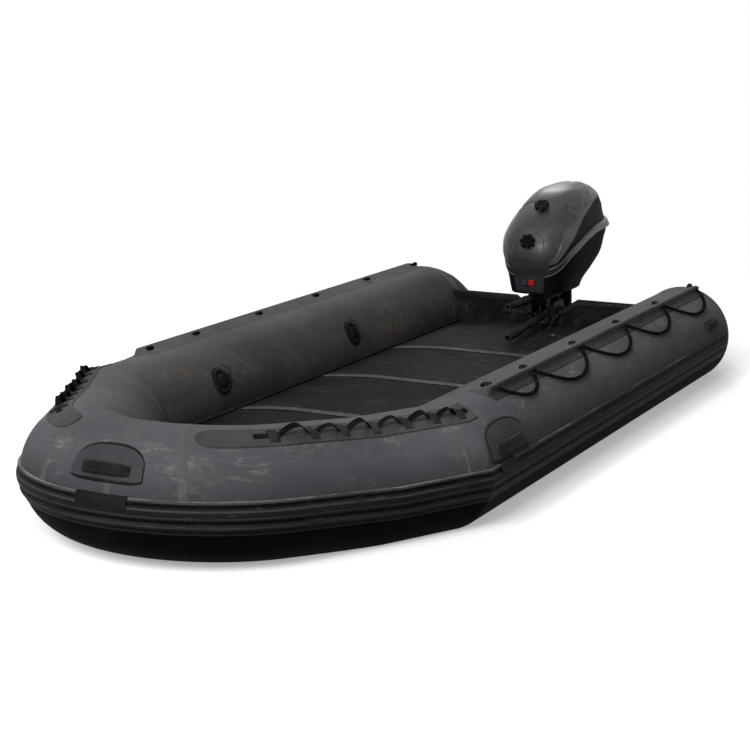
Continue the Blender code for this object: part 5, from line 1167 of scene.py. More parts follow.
def buildLashings():
    loops = loopPlaces()
    over = lash["thick"] + lash["webThick"] + lash["loopClear"]
    foot = lash["loopFoot"] + [(turn, over + lash["loopThick"] * share) for turn, share in lash["loopTop"]]
    crown = [(0.0, over + lash["loopThick"] + lash["loopCrown"])]
    section = [(-turn, height) for turn, height in foot] + crown + foot[::-1]
    for side, word in bothSides:
        meshData = bmesh.new()
        near = [lash["start"] + 0.006 * k for k in range(1, 14)]

        def shape(place):
            nose = min(1.0, (place - lash["start"]) / lash["noseLength"])
            half = lash["half"] * (0.05 + 0.95 * math.sqrt(max(0.0, 1 - (1 - nose) ** 2)))
            return [(lash["angle"] + half * across, height) for across, height in lash["pad"]]

        band(meshData, alongPlaces(lash["start"], lash["end"], 0.02, near), shape, side, False, -0.001)
        padFaces = len(meshData.faces)
        for middle, lean in zip(loops, lash["loopLean"]):
            rows = []
            for share, keep in lash["loopEnds"]:
                outline = [(turn, height * keep) for turn, height in section] + [(turn, 0.002)
                    for turn in (6, 2, -2, -6)]
                rows.append([(middle + lash["loopWidth"] / 2 * share + lean * turn / 10,
                    lash["angle"] + turn, height) for turn, height in outline])
            wrap(meshData, rows, side)
        meshData.faces.ensure_lookup_table()
        for face in meshData.faces[padFaces:]:
            face.material_index = 1
        finish("lashing_pad_" + word, meshData, [padFabric, loopCloth], 45, "hull", "tube_fabric",
            "lashing_strip_" + word)

        start = lash["loopFirst"] - lash["webFore"]
        end = lash["loopFirst"] + lash["loopStep"] * (lash["loops"] - 1) + lash["webAft"]
        meshData = bmesh.new()
        rows = []
        for place in alongPlaces(start, end, 0.0068):
            arch = webHeight(place)
            rise, lifted = lash["thick"] + 0.0004 + arch, min(1.0, arch / 0.03)
            offset = (place - lash["loopFirst"]) / lash["loopStep"]
            sway = lash["sway"] * math.sin(offset * 2.3) * lifted
            half = lash["webWidth"] / 2 * (1 - lash["narrow"] * min(1.0, arch / 0.04))
            tip = lash["tip"] * math.sin(offset * 3.1 + 1) * lifted
            rows.append([(place, lash["angle"] + sway + half * across, rise + lash["webThick"] * up
                + tip * across + lash["curl"] * across * across * lifted) for across, up in lash["web"]])
        wrap(meshData, rows, side)
        finish("lashing_web_" + word, meshData, webbing, 50, "hull", "webbing", "lashing_webbing_" + word)
        spots = []
        for middle in loops:
            for turn in lash["stitchTurns"]:
                for n in (-2, -1, 0, 1, 2):
                    place, angle = middle + n * lash["stitchStep"], lash["angle"] + turn
                    spot = tubePoint(place, angle, lash["stitchLift"], side)
                    out = (spot - tubePoint(place, angle, -0.02, side)).normalized()
                    course = tubePoint(place + 0.01, angle, lash["stitchLift"], side) - spot
                    spots.append((spot, out, course.normalized()))
        scatter("loop_stitches_" + word, stitchTree, spots, "hull", "webbing", 60, Radius=0.0021,
            Height=0.0007)
    print("lashings made")


# inflation valves: a round pad, a recessed seat, a cap with a bar, and a short tether
valve = {"places": (-0.63, 0.63), "angle": 154.0,
         "pad": [(0.068, -0.001), (0.0675, 0.0016), (0.065, 0.0026), (0.06, 0.0028), (0.058, 0.0052),
                 (0.052, 0.0072), (0.047, 0.007), (0.044, 0.003), (0.043, 0.0024), (0.03, 0.0024),
                 (0.0285, 0.0075), (0.026, 0.01), (0.02, 0.0112), (0.008, 0.0116), (0.001, 0.0117)],
         # bar across the cap: shares along it, half its length, degrees at its end, then its section
         "bar": (-1.0, -0.9, -0.5, 0.0, 0.5, 0.9, 1.0), "barHalf": 0.008, "barTurn": 5.2, "barWidth": 0.0055,
         "barLift": 0.0145, "barThick": 0.0045,
         # tether: a strap that runs up from the cap and folds over its end
         "tether": [(-1, 0), (-0.7, 1), (0.7, 1), (1, 0), (0.7, -1), (-0.7, -1)], "tetherWidth": 0.0065,
         "tetherThick": 0.0014, "tetherTurn": 17.5, "tetherStart": 0.004, "tetherSway": 0.022,
         "tetherLift": 0.0125, "tetherArch": 0.011, "tetherFall": 0.0085}


def buildValves():
    for side, word in bothSides:
        for y, end in zip(valve["places"], ("fore", "aft")):
            meshData = bmesh.new()
            middle = sidePlace(y)
            disc(meshData, middle, valve["angle"], side, valve["pad"])
            rows = []
            for share in valve["bar"]:
                keep = 1.0 if abs(share) < 0.95 else 0.6
                rows.append([(middle + across * valve["barWidth"] * keep + valve["barHalf"] * share,
                              valve["angle"] + valve["barTurn"] * share,
                              valve["barLift"] + up * valve["barThick"] * keep)
                             for across, up in roundedOutline(1, 1, 3, 10)])
            wrap(meshData, rows, side)
            rows = []
            for share in evenly(0, 1, 14):
                lift = valve["tetherLift"] + valve["tetherArch"] * math.sin(math.pi
                    * share) - valve["tetherFall"] * share
                centre = middle + valve["tetherStart"] + valve["tetherSway"] * math.sin(1.5 * share)
                rows.append([(centre + across * valve["tetherWidth"], valve["angle"]
                    - valve["tetherTurn"] * share, lift + up * valve["tetherThick"]) for across,
                    up in valve["tether"]])
            wrap(meshData, rows, side)
            finish("valve_cap_%s_%s" % (word, end), meshData, strakeRubber, 40, "hull", "black_rubber",
                "valve_%s_%s" % (word, end))
    print("valves made")


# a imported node's own mesh, welded and with its flat faces whole again
def weldedCopy(*nodes):
    meshData = bmesh.new()
    for node in nodes:
        meshData.from_mesh(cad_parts[node].data)
    bmesh.ops.remove_doubles(meshData, verts=meshData.verts, dist=2e-5)
    bmesh.ops.dissolve_limit(meshData, angle_limit=math.radians(0.6), verts=meshData.verts,
                             edges=meshData.edges, delimit={"NORMAL"})
    return meshData


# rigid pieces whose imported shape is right: corners are rounded, nothing else moves
plainPieces = {
    # node: (material, slot, body, corner, sharp angle)
    "transom_board": (boardCoat, "transom_panel", "hull", 0.0025, 32),
    "keel_guard": (rubber, "black_rubber", "hull", 0.002, 32),
    "clamp_bracket": (castPaint, "dark_casting", "hull", 0.0028, 32),
    "steering_arm": (castPaint, "dark_casting", "powerhead", 0.0022, 32),
    "swivel_bracket": (castPaint, "dark_casting", "swivel", 0.0018, 32),
    "ventilation_plate": (castPaint, "dark_casting", "powerhead", 0.0016, 32),
    "hose_union": (steel, "steel", "hull", 0.0008, 32),
    "deck_ring": (steel, "steel", "hull", 0.0, 40),
    "engine_block": (castPaint, "dark_casting", "powerhead", 0.004, 32),
}


def buildPlainPieces():
    for node, (material, slot, body, corner, sharp) in plainPieces.items():
        piece = linkMesh(node + "_finished", weldedCopy(node), material, sharp, False)
        if corner:
            piece = roundEdges(piece, corner, 2, 30, sharp)
        settle(piece, body, slot, node)
    print("plain pieces finished")


# hull skin: a fine vee with its edges rounded
def buildHullSkin():
    piece = linkMesh("hull_skin", weldedCopy("hull_bottom"), hullFabric, 20, False)
    piece = roundEdges(piece, 0.003, 2, 40, 25)
    settle(piece, "hull", "hull_fabric", "hull_bottom")
    print("hull skin made")


# floor: boards with rounded edges and dulled aluminium joint strips screwed down between them
deck = {"boards": 5, "corner": 0.0025, "stripWidth": 0.052, "stripRise": 0.0012, "screwStep": 0.115,
        "screwRadius": 0.0042, "screwInset": 0.015, "lipWidth": 0.006, "lipRise": 0.0008,
        "stripLift": 0.0036,
        # the floor under the strips: its crown, its flat middle and how far it lies below the boards' box
        "crown": 0.026, "flat": 0.2, "proud": 0.004, "sideGap": 0.035, "foreHalf": 0.545}


# rubber welt where the floor meets the tubes: ends, angle and half its turn in degrees, lift, half thickness
welt = {"ends": (-1.09, 1.865), "angle": 186.0, "turn": 1.4, "lift": 0.006, "thick": 0.0072}


def deckLevel(x):
    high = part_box("floor_board_3")[1]
    crown, flat = deck["crown"], deck["flat"]
    fall = max(0.0, abs(x) - flat) / (high.x - flat)
    return high.z - deck["proud"] - crown + crown * (1 - min(1.0, fall) ** 1.5)


def buildDeck():
    for number in range(1, deck["boards"] + 1):
        node = "floor_board_%d" % number
        piece = linkMesh("deck_board_%d" % number, weldedCopy(node), deckCoat, 20, False)
        settle(roundEdges(piece, deck["corner"], 2, 40, 30), "hull", "floor_panel", node)
    meshData = bmesh.new()
    spots = []
    for number in range(1, deck["boards"]):
        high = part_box("floor_board_%d" % number)[1]
        half = deck["foreHalf"] if number == 1 else high.x - deck["sideGap"]
        aft, fore = high.y - 0.001, high.y - deck["stripWidth"]
        lip, rise = deck["lipWidth"], deck["stripRise"]
        section = [(fore, 0), (fore + 0.001, rise), (fore + lip, rise + deck["lipRise"]),
            (fore + lip + 0.002, rise + 0.0002), (aft - lip - 0.002, rise + 0.0002),
            (aft - lip, rise + deck["lipRise"]), (aft - 0.001, rise), (aft, 0), (aft, -0.001),
            (fore, -0.001)]
        loft(meshData, [[Vector((x, y, deckLevel(x) + deck["stripLift"] + up)) for y, up in section]
                        for x in evenly(-half, half, 40)])
        count = int(2 * half / deck["screwStep"])
        for k in range(count + 1):
            x = -half + 0.03 + (2 * half - 0.06) * k / count
            for y in (fore + deck["screwInset"], aft - deck["screwInset"]):
                level = deckLevel(x) + deck["stripLift"] + deck["stripRise"] + 0.0002
                slope = deckLevel(x + 0.01) - deckLevel(x - 0.01)
                spots.append((Vector((x, y, level)), Vector((-slope, 0, 0.02)).normalized(), (0, 1, 0)))
    finish("deck_joint_strips", meshData, stripMetal, 25, "hull", "steel")
    scatter("deck_screws", screwTree, spots, "hull", "steel", 40, Radius=deck["screwRadius"], Height=0.0012)
    meshData = bmesh.new()
    for side in (1, -1):
        start, end = (sidePlace(y) for y in welt["ends"])
        wrap(meshData, [[(place, welt["angle"] + across * welt["turn"], welt["lift"] + up * welt["thick"])
                         for across, up in roundedOutline(1, 1, 2, 10)]
                        for place in alongPlaces(start, end, 0.05)], side, True)
    finish("floor_welts", meshData, strakeRubber, 50, "hull", "black_rubber")
    print("deck made")


# transom: rubber cap, bolted plates, and the small fittings that sit on the board
transom = {"boltRadius": 0.0062, "boltHeight": 0.0045,
           "box": (0.278, 0.319, 0.245, 0.275), "boxDepth": 0.026, "boxFoot": 0.006, "drain": (0.187, 0.236),
           "drainRows": [(0.0, 0.024), (0.0035, 0.024), (0.005, 0.022), (0.005, 0.015), (0.013, 0.014),
                         (0.0145, 0.012), (0.0145, 0.003)],
           # plate, facing, bolts across and up as shares of its half size
           "plates": [("clamp_plate_inner", -1, (-0.86, 0.86), (-0.5, 0.5)),
                      ("clamp_plate_outer", 1, (-0.8, 0.8), (-0.75, 0.0, 0.75))],
           "kneeTurns": (163.0, 233.0), "kneePlace": 1.8, "kneeReach": (-0.075, 0.07),
           # share of the knee's width, lift over its foot
           "knee": [(0.0, 0.0022), (0.5, 0.0024), (0.93, 0.0022), (1.0, 0.0006)]}


def buildTransom():
    piece = linkMesh("transom_cap_moulded", weldedCopy("transom_cap"), sheetRubber, 50, False)
    settle(piece, "hull", "black_rubber", "transom_cap")
    boardLow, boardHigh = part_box("transom_board")
    spots = []
    meshData = bmesh.new()
    for node, facing, across, levels in transom["plates"]:
        low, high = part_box(node)
        halfX, halfZ = (high.x - low.x) / 2, (high.z - low.z) / 2
        middle = (low + high) / 2
        outline = roundedOutline(halfX, halfZ, 9.0, 56)
        front, back = (low.y, high.y) if facing < 0 else (high.y, low.y)
        rings = [[Vector((middle.x + x * keep, y, middle.z + z * keep)) for x, z in outline]
                 for y, keep in ((back, 1.0), (front + (back - front) * 0.25, 1.0), (front, 0.988))]
        loft(meshData, rings)
        spots += [(Vector((x * halfX, front, middle.z + z * halfZ)), Vector((0, facing, 0)), (1, 0, 0))
                  for x in across for z in levels]
    finish("clamp_plates", meshData, steel, 35, "hull", "steel", "clamp_plate_inner", "clamp_plate_outer")
    scatter("plate_bolts", boltTree, spots, "hull", "steel", 35, Radius=transom["boltRadius"],
            Height=transom["boltHeight"])

    # glued knees that tie the board to the tubes, inside and out
    meshData = bmesh.new()
    for side in (1, -1):
        for y, reach in zip((boardLow.y - 0.001, boardHigh.y + 0.001), transom["kneeReach"]):
            rings = []
            for turn in evenly(*transom["kneeTurns"], 24):
                inner, lean = (tubePoint(sidePlace(transom["kneePlace"]), turn, lift, side)
                    for lift in (0.001, 0.06))
                points = []
                for share, up in transom["knee"]:
                    spot = inner.lerp(lean, up / 0.059)
                    points.append(Vector((spot.x, y + reach * share, spot.z)))
                points += [Vector((inner.x, y + reach, inner.z)), Vector((inner.x, y, inner.z))]
                rings.append(points)
            loft(meshData, rings)
    finish("transom_knees", meshData, padFabric, 40, "hull", "tube_fabric")

    # junction box and drain on the inner face
    x0, x1, z0, z1 = transom["box"]
    meshData = bmesh.new()
    foot = transom["boxFoot"]
    block(meshData, (x0, boardLow.y - transom["boxDepth"], z0), (x1, boardLow.y - 0.0006, z1))
    block(meshData, (x0 - foot, boardLow.y - foot, z0 + foot), (x1 + foot, boardLow.y - 0.0004, z1 - foot))
    piece = linkMesh("transom_box", meshData, coverPlastic, 35)
    settle(roundEdges(piece, 0.003, 3, 40, 40), "hull", "black_rubber")
    meshData = bmesh.new()
    x, z = transom["drain"]
    face = boardLow.y - 0.0004
    for across in (x, -x):
        turned(meshData, (across, face, z), (across, face - 1, z), transom["drainRows"], 36)
    finish("transom_drains", meshData, rubber, 35, "hull", "black_rubber")
    print("transom made")


# fuel hose: a short free hose from its union down to the floor, drawn as far as it shows
hose = {"radius": 0.004, "count": 34, "clear": 0.0008,
        # from the union: distance aft and height, then across, aft and height over its rest on the floor
        "drop": [(0, 0), (-0.014, 0), (-0.028, -0.006), (-0.068, -0.026)],
        "floor": [(0, 0.118, 0.006), (0.003, 0.158, 0.0005), (0.012, 0.201, 0)],
        "connector": [(0.0, 0.0042), (0.001, 0.0048), (0.008, 0.0048), (0.009, 0.0044), (0.012, 0.0044),
                      (0.0125, 0.0025)]}


def buildHose():
    unionLow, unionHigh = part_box("hose_union")
    x = (unionLow.x + unionHigh.x) / 2
    top = Vector((x, unionLow.y, (unionLow.z + unionHigh.z) / 2))
    route = [top + Vector((0, y, z)) for y, z in hose["drop"]]
    route += [Vector((x - across, top.y - y, deckLevel(x) + (hose["radius"] + hose["clear"]) + up))
              for across, y, up in hose["floor"]]
    points = smoothRoute(route, hose["count"])
    piece = makeCurve("hose_to_tank", points, hose["radius"], rubber)
    settle(piece, "hull", "black_rubber", "fuel_hose")
    # its end wears a quick connector
    end, before = points[-1], points[-3]
    meshData = bmesh.new()
    aim = (end - before).normalized()
    aim.z = 0
    turned(meshData, end - aim * 0.004, end + aim, hose["connector"], 20)
    connector = finish("hose_connector", meshData, steel, 35, "hull", "steel")


# engine cover: one rounded form
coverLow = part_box("cowl_lower")[0]
cover = {
    "bottom": coverLow.z,
    "axis": coverLow.y + 0.41,
    # height, front and rear from the steering axis, half width, squareness
    "rows": [(0.0, -0.375, 0.1, 0.158, 3.2), (0.04, -0.383, 0.13, 0.168, 3.2),
             (0.095, -0.392, 0.235, 0.186, 3.1), (0.165, -0.41, 0.35, 0.205, 3.0),
             (0.245, -0.41, 0.39, 0.215, 3.0), (0.305, -0.385, 0.41, 0.215, 3.0),
             (0.385, -0.3, 0.4, 0.2, 2.7), (0.465, -0.185, 0.365, 0.165, 2.5),
             (0.525, -0.075, 0.325, 0.11, 2.4), (0.545, 0.04, 0.27, 0.06, 2.2)],
    "sides": 208, "wall": 0.0035, "rowMarks": (0, 8, 11, 29, 41, 92),
    "seam": [(-0.6, 0.075), (-0.4, 0.09), (-0.35, 0.12), (-0.26, 0.2), (-0.1, 0.262),
             (0.06, 0.295), (0.2, 0.303), (0.6, 0.318)],
    # creases on each side: distance aft, height
    "ridgeHigh": [(-0.6, 0.08), (-0.395, 0.165), (-0.317, 0.325), (-0.12, 0.405), (0.01, 0.45), (0.1, 0.5),
                  (0.6, 0.8)],
    "ridgeLow": [(-0.6, 0.06), (-0.395, 0.13), (-0.3, 0.262), (-0.2, 0.335), (-0.1, 0.392), (0.0, 0.43),
                 (0.1, 0.458), (0.25, 0.485), (0.6, 0.62)],
    # lift over the plain form at the seam, the facet's foot and head, both creases and the crown
    "foot": 0.034, "facets": (0.0, 0.001, -0.0125, 0.0075, 0.0, 0.0), "flare": 0.02, "groove": 0.003,
    # where the facets fade: across, distance aft at their front and rear; the flare's run aft and reach up
    "facetSide": (0.085, 0.125), "facetFore": (-0.405, -0.33), "facetAft": (0.3, 0.39),
    "flareRun": (0.12, 0.36), "flareReach": 0.075, "grooveWidth": 0.0042,
    # half width, front, rear and least height of the hatch, its rise and the run of its edge
    "hatchBox": (0.17, -0.17, 0.26, 0.4), "hatchRise": 0.0022, "hatchRun": (0.002, 0.012),
    # the lower cover lies in and tucks under at its sides
    "inset": 0.003, "tuck": 0.004, "tuckRun": (0.01, 0.07),
    "crown": 0.545, "seamGap": 0.0009, "rim": 0.0016, "rimRun": 0.004, "lowerRows": 34,
    # the crown's cap: share of its outline, rise
    "cap": [(0.85, 0.0022), (0.65, 0.0042), (0.4, 0.0055), (0.15, 0.0062)],
    # the sides that take the painted shade and painted highlight tones: distance across, front and rear
    "tones": (0.1, -0.385, 0.34), "seal": (-0.0022, 0.0034, 0.0022),
    # height, degrees round from port
    "screws": [(0.455, -57), (0.455, -123), (0.512, -14), (0.512, 194), (0.48, 62), (0.48, 118),
               (0.102, -118)],
    # outline of the top hatch in plan: across, distance aft
    "hatch": [(0.0, -0.176), (0.06, -0.172), (0.115, -0.157), (0.158, -0.128), (0.176, -0.088),
              (0.17, -0.03), (0.15, 0.04), (0.136, 0.12), (0.118, 0.215), (0.06, 0.262), (0.0, 0.27)],
    "knobs": {"cover_knob_lower": 0.284, "cover_knob_upper": 0.448},
}


def alongLine(points, key):
    for first, second in zip(points[:-1], points[1:]):
        if key <= second[0]:
            break
    share = (key - first[0]) / (second[0] - first[0])
    return first[1] + (second[1] - first[1]) * min(1.0, max(0.0, share))


def smoothLine(points, key):
    return sum(alongLine(points, key + d * 0.012) for d in (-2, -1, 0, 1, 2)) / 5


def toHatch(x, y):
    best = 1.0
    for first, second in zip(cover["hatch"][:-1], cover["hatch"][1:]):
        a, b, p = Vector(first), Vector(second), Vector((abs(x), y))
        share = min(1.0, max(0.0, (p - a).dot(b - a) / (b - a).length_squared))
        best = min(best, (p - a.lerp(b, share)).length)
    return best


def coverBase(height, turn):
    front, rear, half, power = (fromRows(cover["rows"], height, column) for column in (1, 2, 3, 4))
    c, s = math.cos(turn), math.sin(turn)
    return Vector((half * math.copysign(abs(c) ** (2 / power), c),
                   cover["axis"] + (front + rear) / 2
                   + (rear - front) / 2 * math.copysign(abs(s) ** (2 / power), s),
                   cover["bottom"] + height))


def coverNormal(height, turn):
    across = coverBase(height, turn + 0.01) - coverBase(height, turn - 0.01)
    low, high = max(0.0, height - 0.004), min(cover["crown"], height + 0.004)
    return across.cross(coverBase(high, turn) - coverBase(low, turn)).normalized()


# height at which a line over the side meets the cover at a turn
def lineHeight(name, turn):
    low, high = 0.0, cover["crown"] - 0.005
    for _ in range(22):
        middle = (low + high) / 2
        if middle < smoothLine(cover[name], coverBase(middle, turn).y - cover["axis"]):
            low = middle
        else:
            high = middle
    return (low + high) / 2


# heights that the rows of the upper cover keep to: seam, foot of the facet, both creases, crown
def coverLines(turn, seam):
    foot = min(seam + cover["foot"], 0.44)
    lower = min(0.5, max(lineHeight("ridgeLow", turn), foot + 0.025))
    upper = min(0.525, max(lineHeight("ridgeHigh", turn), lower + 0.018))
    return [seam, foot, foot + 0.007, lower, upper, cover["crown"]]


# creases, hatch groove, rib over the seam and the flared rear lip
def coverRelief(height, turn, seam, upper, marks=None):
    base = coverBase(height, turn)
    y = base.y - cover["axis"]
    onSide = smoothStep(abs(base.x), *cover["facetSide"])
    if not upper:
        return -cover["inset"] - cover["tuck"] * onSide * smoothStep(seam - height, *cover["tuckRun"])
    over = height - smoothLine(cover["seam"], y)
    lift = alongLine(list(zip(marks or coverLines(turn, seam), cover["facets"])), height)
    lift *= onSide * smoothStep(y, *cover["facetFore"]) * (1 - smoothStep(y, *cover["facetAft"]))
    reach = max(0.0, 1 - max(0.0, over) / cover["flareReach"]) ** 1.5
    lift += cover["flare"] * smoothStep(y, *cover["flareRun"]) * reach
    if height > 0.36:
        away = toHatch(base.x, y)
        half, front, rear, least = cover["hatchBox"]
        lift -= cover["groove"] * math.exp(-(away / cover["grooveWidth"]) ** 2)
        if abs(base.x) < half and front < y < rear and height > least:
            lift += cover["hatchRise"] * smoothStep(away, *cover["hatchRun"])
    return lift


def coverPoint(height, turn, lift=0.0):
    seam = lineHeight("seam", turn)
    upper = height >= seam
    normal = coverNormal(height, turn)
    return coverBase(height, turn) + normal * (coverRelief(height, turn, seam, upper) + lift), normal


def buildCover():
    turns = [-math.pi / 2 + turn for turn in roundTurns(cover["sides"])]
    seams = [lineHeight("seam", turn) for turn in turns]
    lines = [coverLines(turn, seam + cover["seamGap"]) for turn, seam in zip(turns, seams)]
    rowMarks = cover["rowMarks"]
    for name, node, upper, material in (("cover_upper", "cowl_upper", True,
            [coverPaint, coverShadePaint, coverHighlightPaint]), ("cover_lower", "cowl_lower", False, coverPlastic)):
        rings = []
        count = rowMarks[-1] if upper else cover["lowerRows"]
        for n in range(count + 1):
            ring = []
            for turn, seam, marks in zip(turns, seams, lines):
                if upper:
                    k = max(m for m in range(5) if rowMarks[m] <= n) if n < count else 4
                    share = (n - rowMarks[k]) / (rowMarks[k + 1] - rowMarks[k])
                    height = marks[k] + (marks[k + 1] - marks[k]) * share
                else:
                    height = (seam - cover["seamGap"]) * n / count
                # the rims along the seam roll in a little
                lift = coverRelief(height, turn, seam, upper, marks)
                lift -= cover["rim"] * max(0.0, 1 - abs(height - seam) / cover["rimRun"])
                ring.append(coverBase(height, turn) + coverNormal(height, turn) * lift)
            rings.append(ring)
        if upper:
            middle = sum(rings[-1], Vector()) / len(rings[-1])
            crown = rings[-1]
            rings += [[middle + (point - middle) * keep + Vector((0, 0, rise)) for point in crown]
                      for keep, rise in cover["cap"]]
        meshData = bmesh.new()
        rows = loft(meshData, rings, False)
        if upper:
            # the facet under the creases is painted darker as painted shade, and the strip over it and the
            # rib are painted paler as painted highlights
            side, front, rear = cover["tones"]
            for k, face in enumerate(meshData.faces):
                middle = face.calc_center_median()
                row = k // cover["sides"]
                if abs(middle.x) > side and front < middle.y - cover["axis"] < rear:
                    if rowMarks[1] <= row < rowMarks[3]:
                        face.material_index = 1 if row >= rowMarks[2] else 2
                    elif rowMarks[3] <= row < rowMarks[4]:
                        face.material_index = 2
        meshData.faces.new(rows[-1] if upper else rows[0])
        piece = linkMesh(name, meshData, material, 26)
        wall = piece.modifiers.new("wall", "SOLIDIFY")
        wall.thickness = cover["wall"]
        wall.offset = -1
        settle(applyModifiers(piece, 26), "powerhead", "cover_paint", node)

    # pale seal that shows as a line between the covers
    rings = []
    inset, thick, tall = cover["seal"]
    for turn, seam in zip(turns, seams):
        centre, out = coverBase(seam, turn), coverNormal(seam, turn)
        rings.append([centre + out * (inset + thick * math.cos(b)) + Vector((0, 0, 1)) * tall * math.sin(b)
                      for b in roundTurns(8)])
    meshData = bmesh.new()
    loft(meshData, rings + [rings[0]], False)
    bmesh.ops.remove_doubles(meshData, verts=meshData.verts, dist=1e-6)
    finish("cover_seal", meshData, sealRubber, 60, "powerhead", "black_rubber")

    spots = []
    for height, turn in cover["screws"]:
        place, out = coverPoint(height, math.radians(turn), -0.0004)
        spots.append((place, out, (0, 1, 0)))
    scatter("cover_screws", screwTree, spots, "powerhead", "steel", 40, Radius=0.0062, Height=0.003)
    print("engine cover made")


sealRubber = wornFinish("pale grey seal", "rubber", colour="#77756f", deep="#4c4a48")
panelLook = wornFinish("smoked grey panel", "plastic", colour="#2f2e31", deep="#232225", shine=0.4,
    roughness=0.36)

# arched front panel, two scalloped knobs and the stop switch
panel = {"bottom": 0.012, "top": 0.335, "shoulder": 0.185, "reach": 18.0, "proud": 0.005, "back": 0.001,
         "split": 0.178, "rows": 60, "columns": 28,
         # its edge rolls in, a groove marks the split and the upper part stands a little higher
         "edge": 0.0032, "groove": 0.0014, "grooveWidth": 0.0022, "step": 0.0008}
switch = {"height": 0.068, "size": (0.08, 0.046), "button": 0.03, "spread": 0.019,
          # distance out, share of the outline
          "plate": [(0.0, 1.0), (0.0045, 1.0), (0.006, 0.975), (0.006, 0.9), (0.0045, 0.87)],
          "push": [(0.003, 1.0), (0.0095, 1.0), (0.011, 0.96), (0.0116, 0.88), (0.0112, 0.55),
                   (0.0108, 0.2)]}
knob = {"radius": 0.042, "scallops": 7, "lift": 0.0006,
        # distance out, share of the radius, depth of the scallops
        "rows": [(0.0, 0.38, 0.0), (0.008, 0.38, 0.0), (0.0085, 0.7, 0.14), (0.0095, 0.88, 0.24),
                 (0.012, 0.97, 0.3), (0.016, 1.0, 0.32), (0.022, 1.0, 0.32), (0.026, 0.96, 0.3),
                 (0.0285, 0.88, 0.25), (0.03, 0.76, 0.16), (0.03, 0.6, 0.05), (0.0285, 0.52, 0.0),
                 (0.0265, 0.42, 0.0), (0.0265, 0.2, 0.0), (0.0275, 0.14, 0.0)]}


def panelReach(height):
    over = max(0.0, height - panel["shoulder"]) / (panel["top"] - panel["shoulder"])
    return math.radians(panel["reach"]) * math.sqrt(max(0.0025, 1 - over ** 2.2))


def frontFrame(height):
    place = coverBase(height, -math.pi / 2)
    rise = coverBase(height + 0.005, -math.pi / 2) - coverBase(height - 0.005, -math.pi / 2)
    out = Vector((0, -rise.z, rise.y)).normalized()
    return place, out, Vector((1, 0, 0)), out.cross(Vector((1, 0, 0)))


def buildPanel():
    outer, inner = [], []
    for share in evenly(0, 1, panel["rows"]):
        height = panel["bottom"] + (panel["top"] - panel["bottom"]) * (1 - (1 - share) ** 1.5)
        reach = panelReach(height)
        rowOut, rowIn = [], []
        for k in range(panel["columns"] + 1):
            across = -1 + 2 * k / panel["columns"]
            turn = -math.pi / 2 + reach * across
            place, out = coverBase(height, turn), coverNormal(height, turn)
            toEdge = min((1 - abs(across)) * reach * 0.3, height - panel["bottom"] + 0.0005,
                         (panel["top"] - height) * 0.9 + 0.0004)
            lift = panel["proud"] - panel["edge"] * math.exp(-(toEdge / panel["edge"]))
            lift -= panel["groove"] * math.exp(-((height - panel["split"]) / panel["grooveWidth"]) ** 2)
            if height > panel["split"]:
                lift += panel["step"]
            rowOut.append(place + out * lift)
            rowIn.append(place + out * panel["back"])
        outer.append(rowOut)
        inner.append(rowIn)
    rings = [first + list(reversed(second)) for first, second in zip(outer, inner)]
    meshData = bmesh.new()
    loft(meshData, rings)
    limit = cover["bottom"] + panel["split"]
    for face in meshData.faces:
        face.material_index = 1 if face.calc_center_median().z < limit else 0
    piece = linkMesh("panel_arched", meshData, [coverPaint, panelLook], 40)
    settle(piece, "powerhead", "cover_paint", "front_panel")


def buildKnobs():
    for node, height in cover["knobs"].items():
        place, out, across, upward = frontFrame(height)
        place = place + out * (panel["proud"] + knob["lift"] if height < panel["top"] else knob["lift"])
        rings = []
        for distance, share, scallop in knob["rows"]:
            ring = []
            for turn in roundTurns(96):
                wave = max(0.0, math.cos(knob["scallops"] * turn)) ** 1.3
                reach = share * knob["radius"] * (1 - scallop * wave)
                ring.append(place + out * distance + across * reach * math.cos(turn)
                            + upward * reach * math.sin(turn))
            rings.append(ring)
        meshData = bmesh.new()
        loft(meshData, rings)
        finish(node + "_moulded", meshData, knobRubber, 35, "powerhead", "black_rubber", node)

    place, out, across, upward = frontFrame(switch["height"])
    place = place + Vector((0, -panel["proud"] - 0.0002, 0))
    meshData = bmesh.new()
    width, tall = switch["size"]
    half = switch["button"] / 2
    for number, x, halfWidth, halfHeight, levels, power in (
            (0, 0, width / 2, tall / 2, switch["plate"], 6.0),
            (1, -switch["spread"], half, half, switch["push"], 5.0),
            (2, switch["spread"], half, half, switch["push"], 5.0)):
        before = len(meshData.faces)
        loft(meshData, [[place + across * (x + a * keep) + upward * b * keep + out * level for a,
            b in roundedOutline(halfWidth, halfHeight, power, 44)] for level, keep in levels])
        meshData.faces.ensure_lookup_table()
        for face in meshData.faces[before:]:
            face.material_index = number
    finish("stop_switch_pair", meshData, [rubber, bluePlastic, redPlastic], 40, "powerhead", "black_rubber",
        "stop_switch")
    print("panel, knobs and switch made")


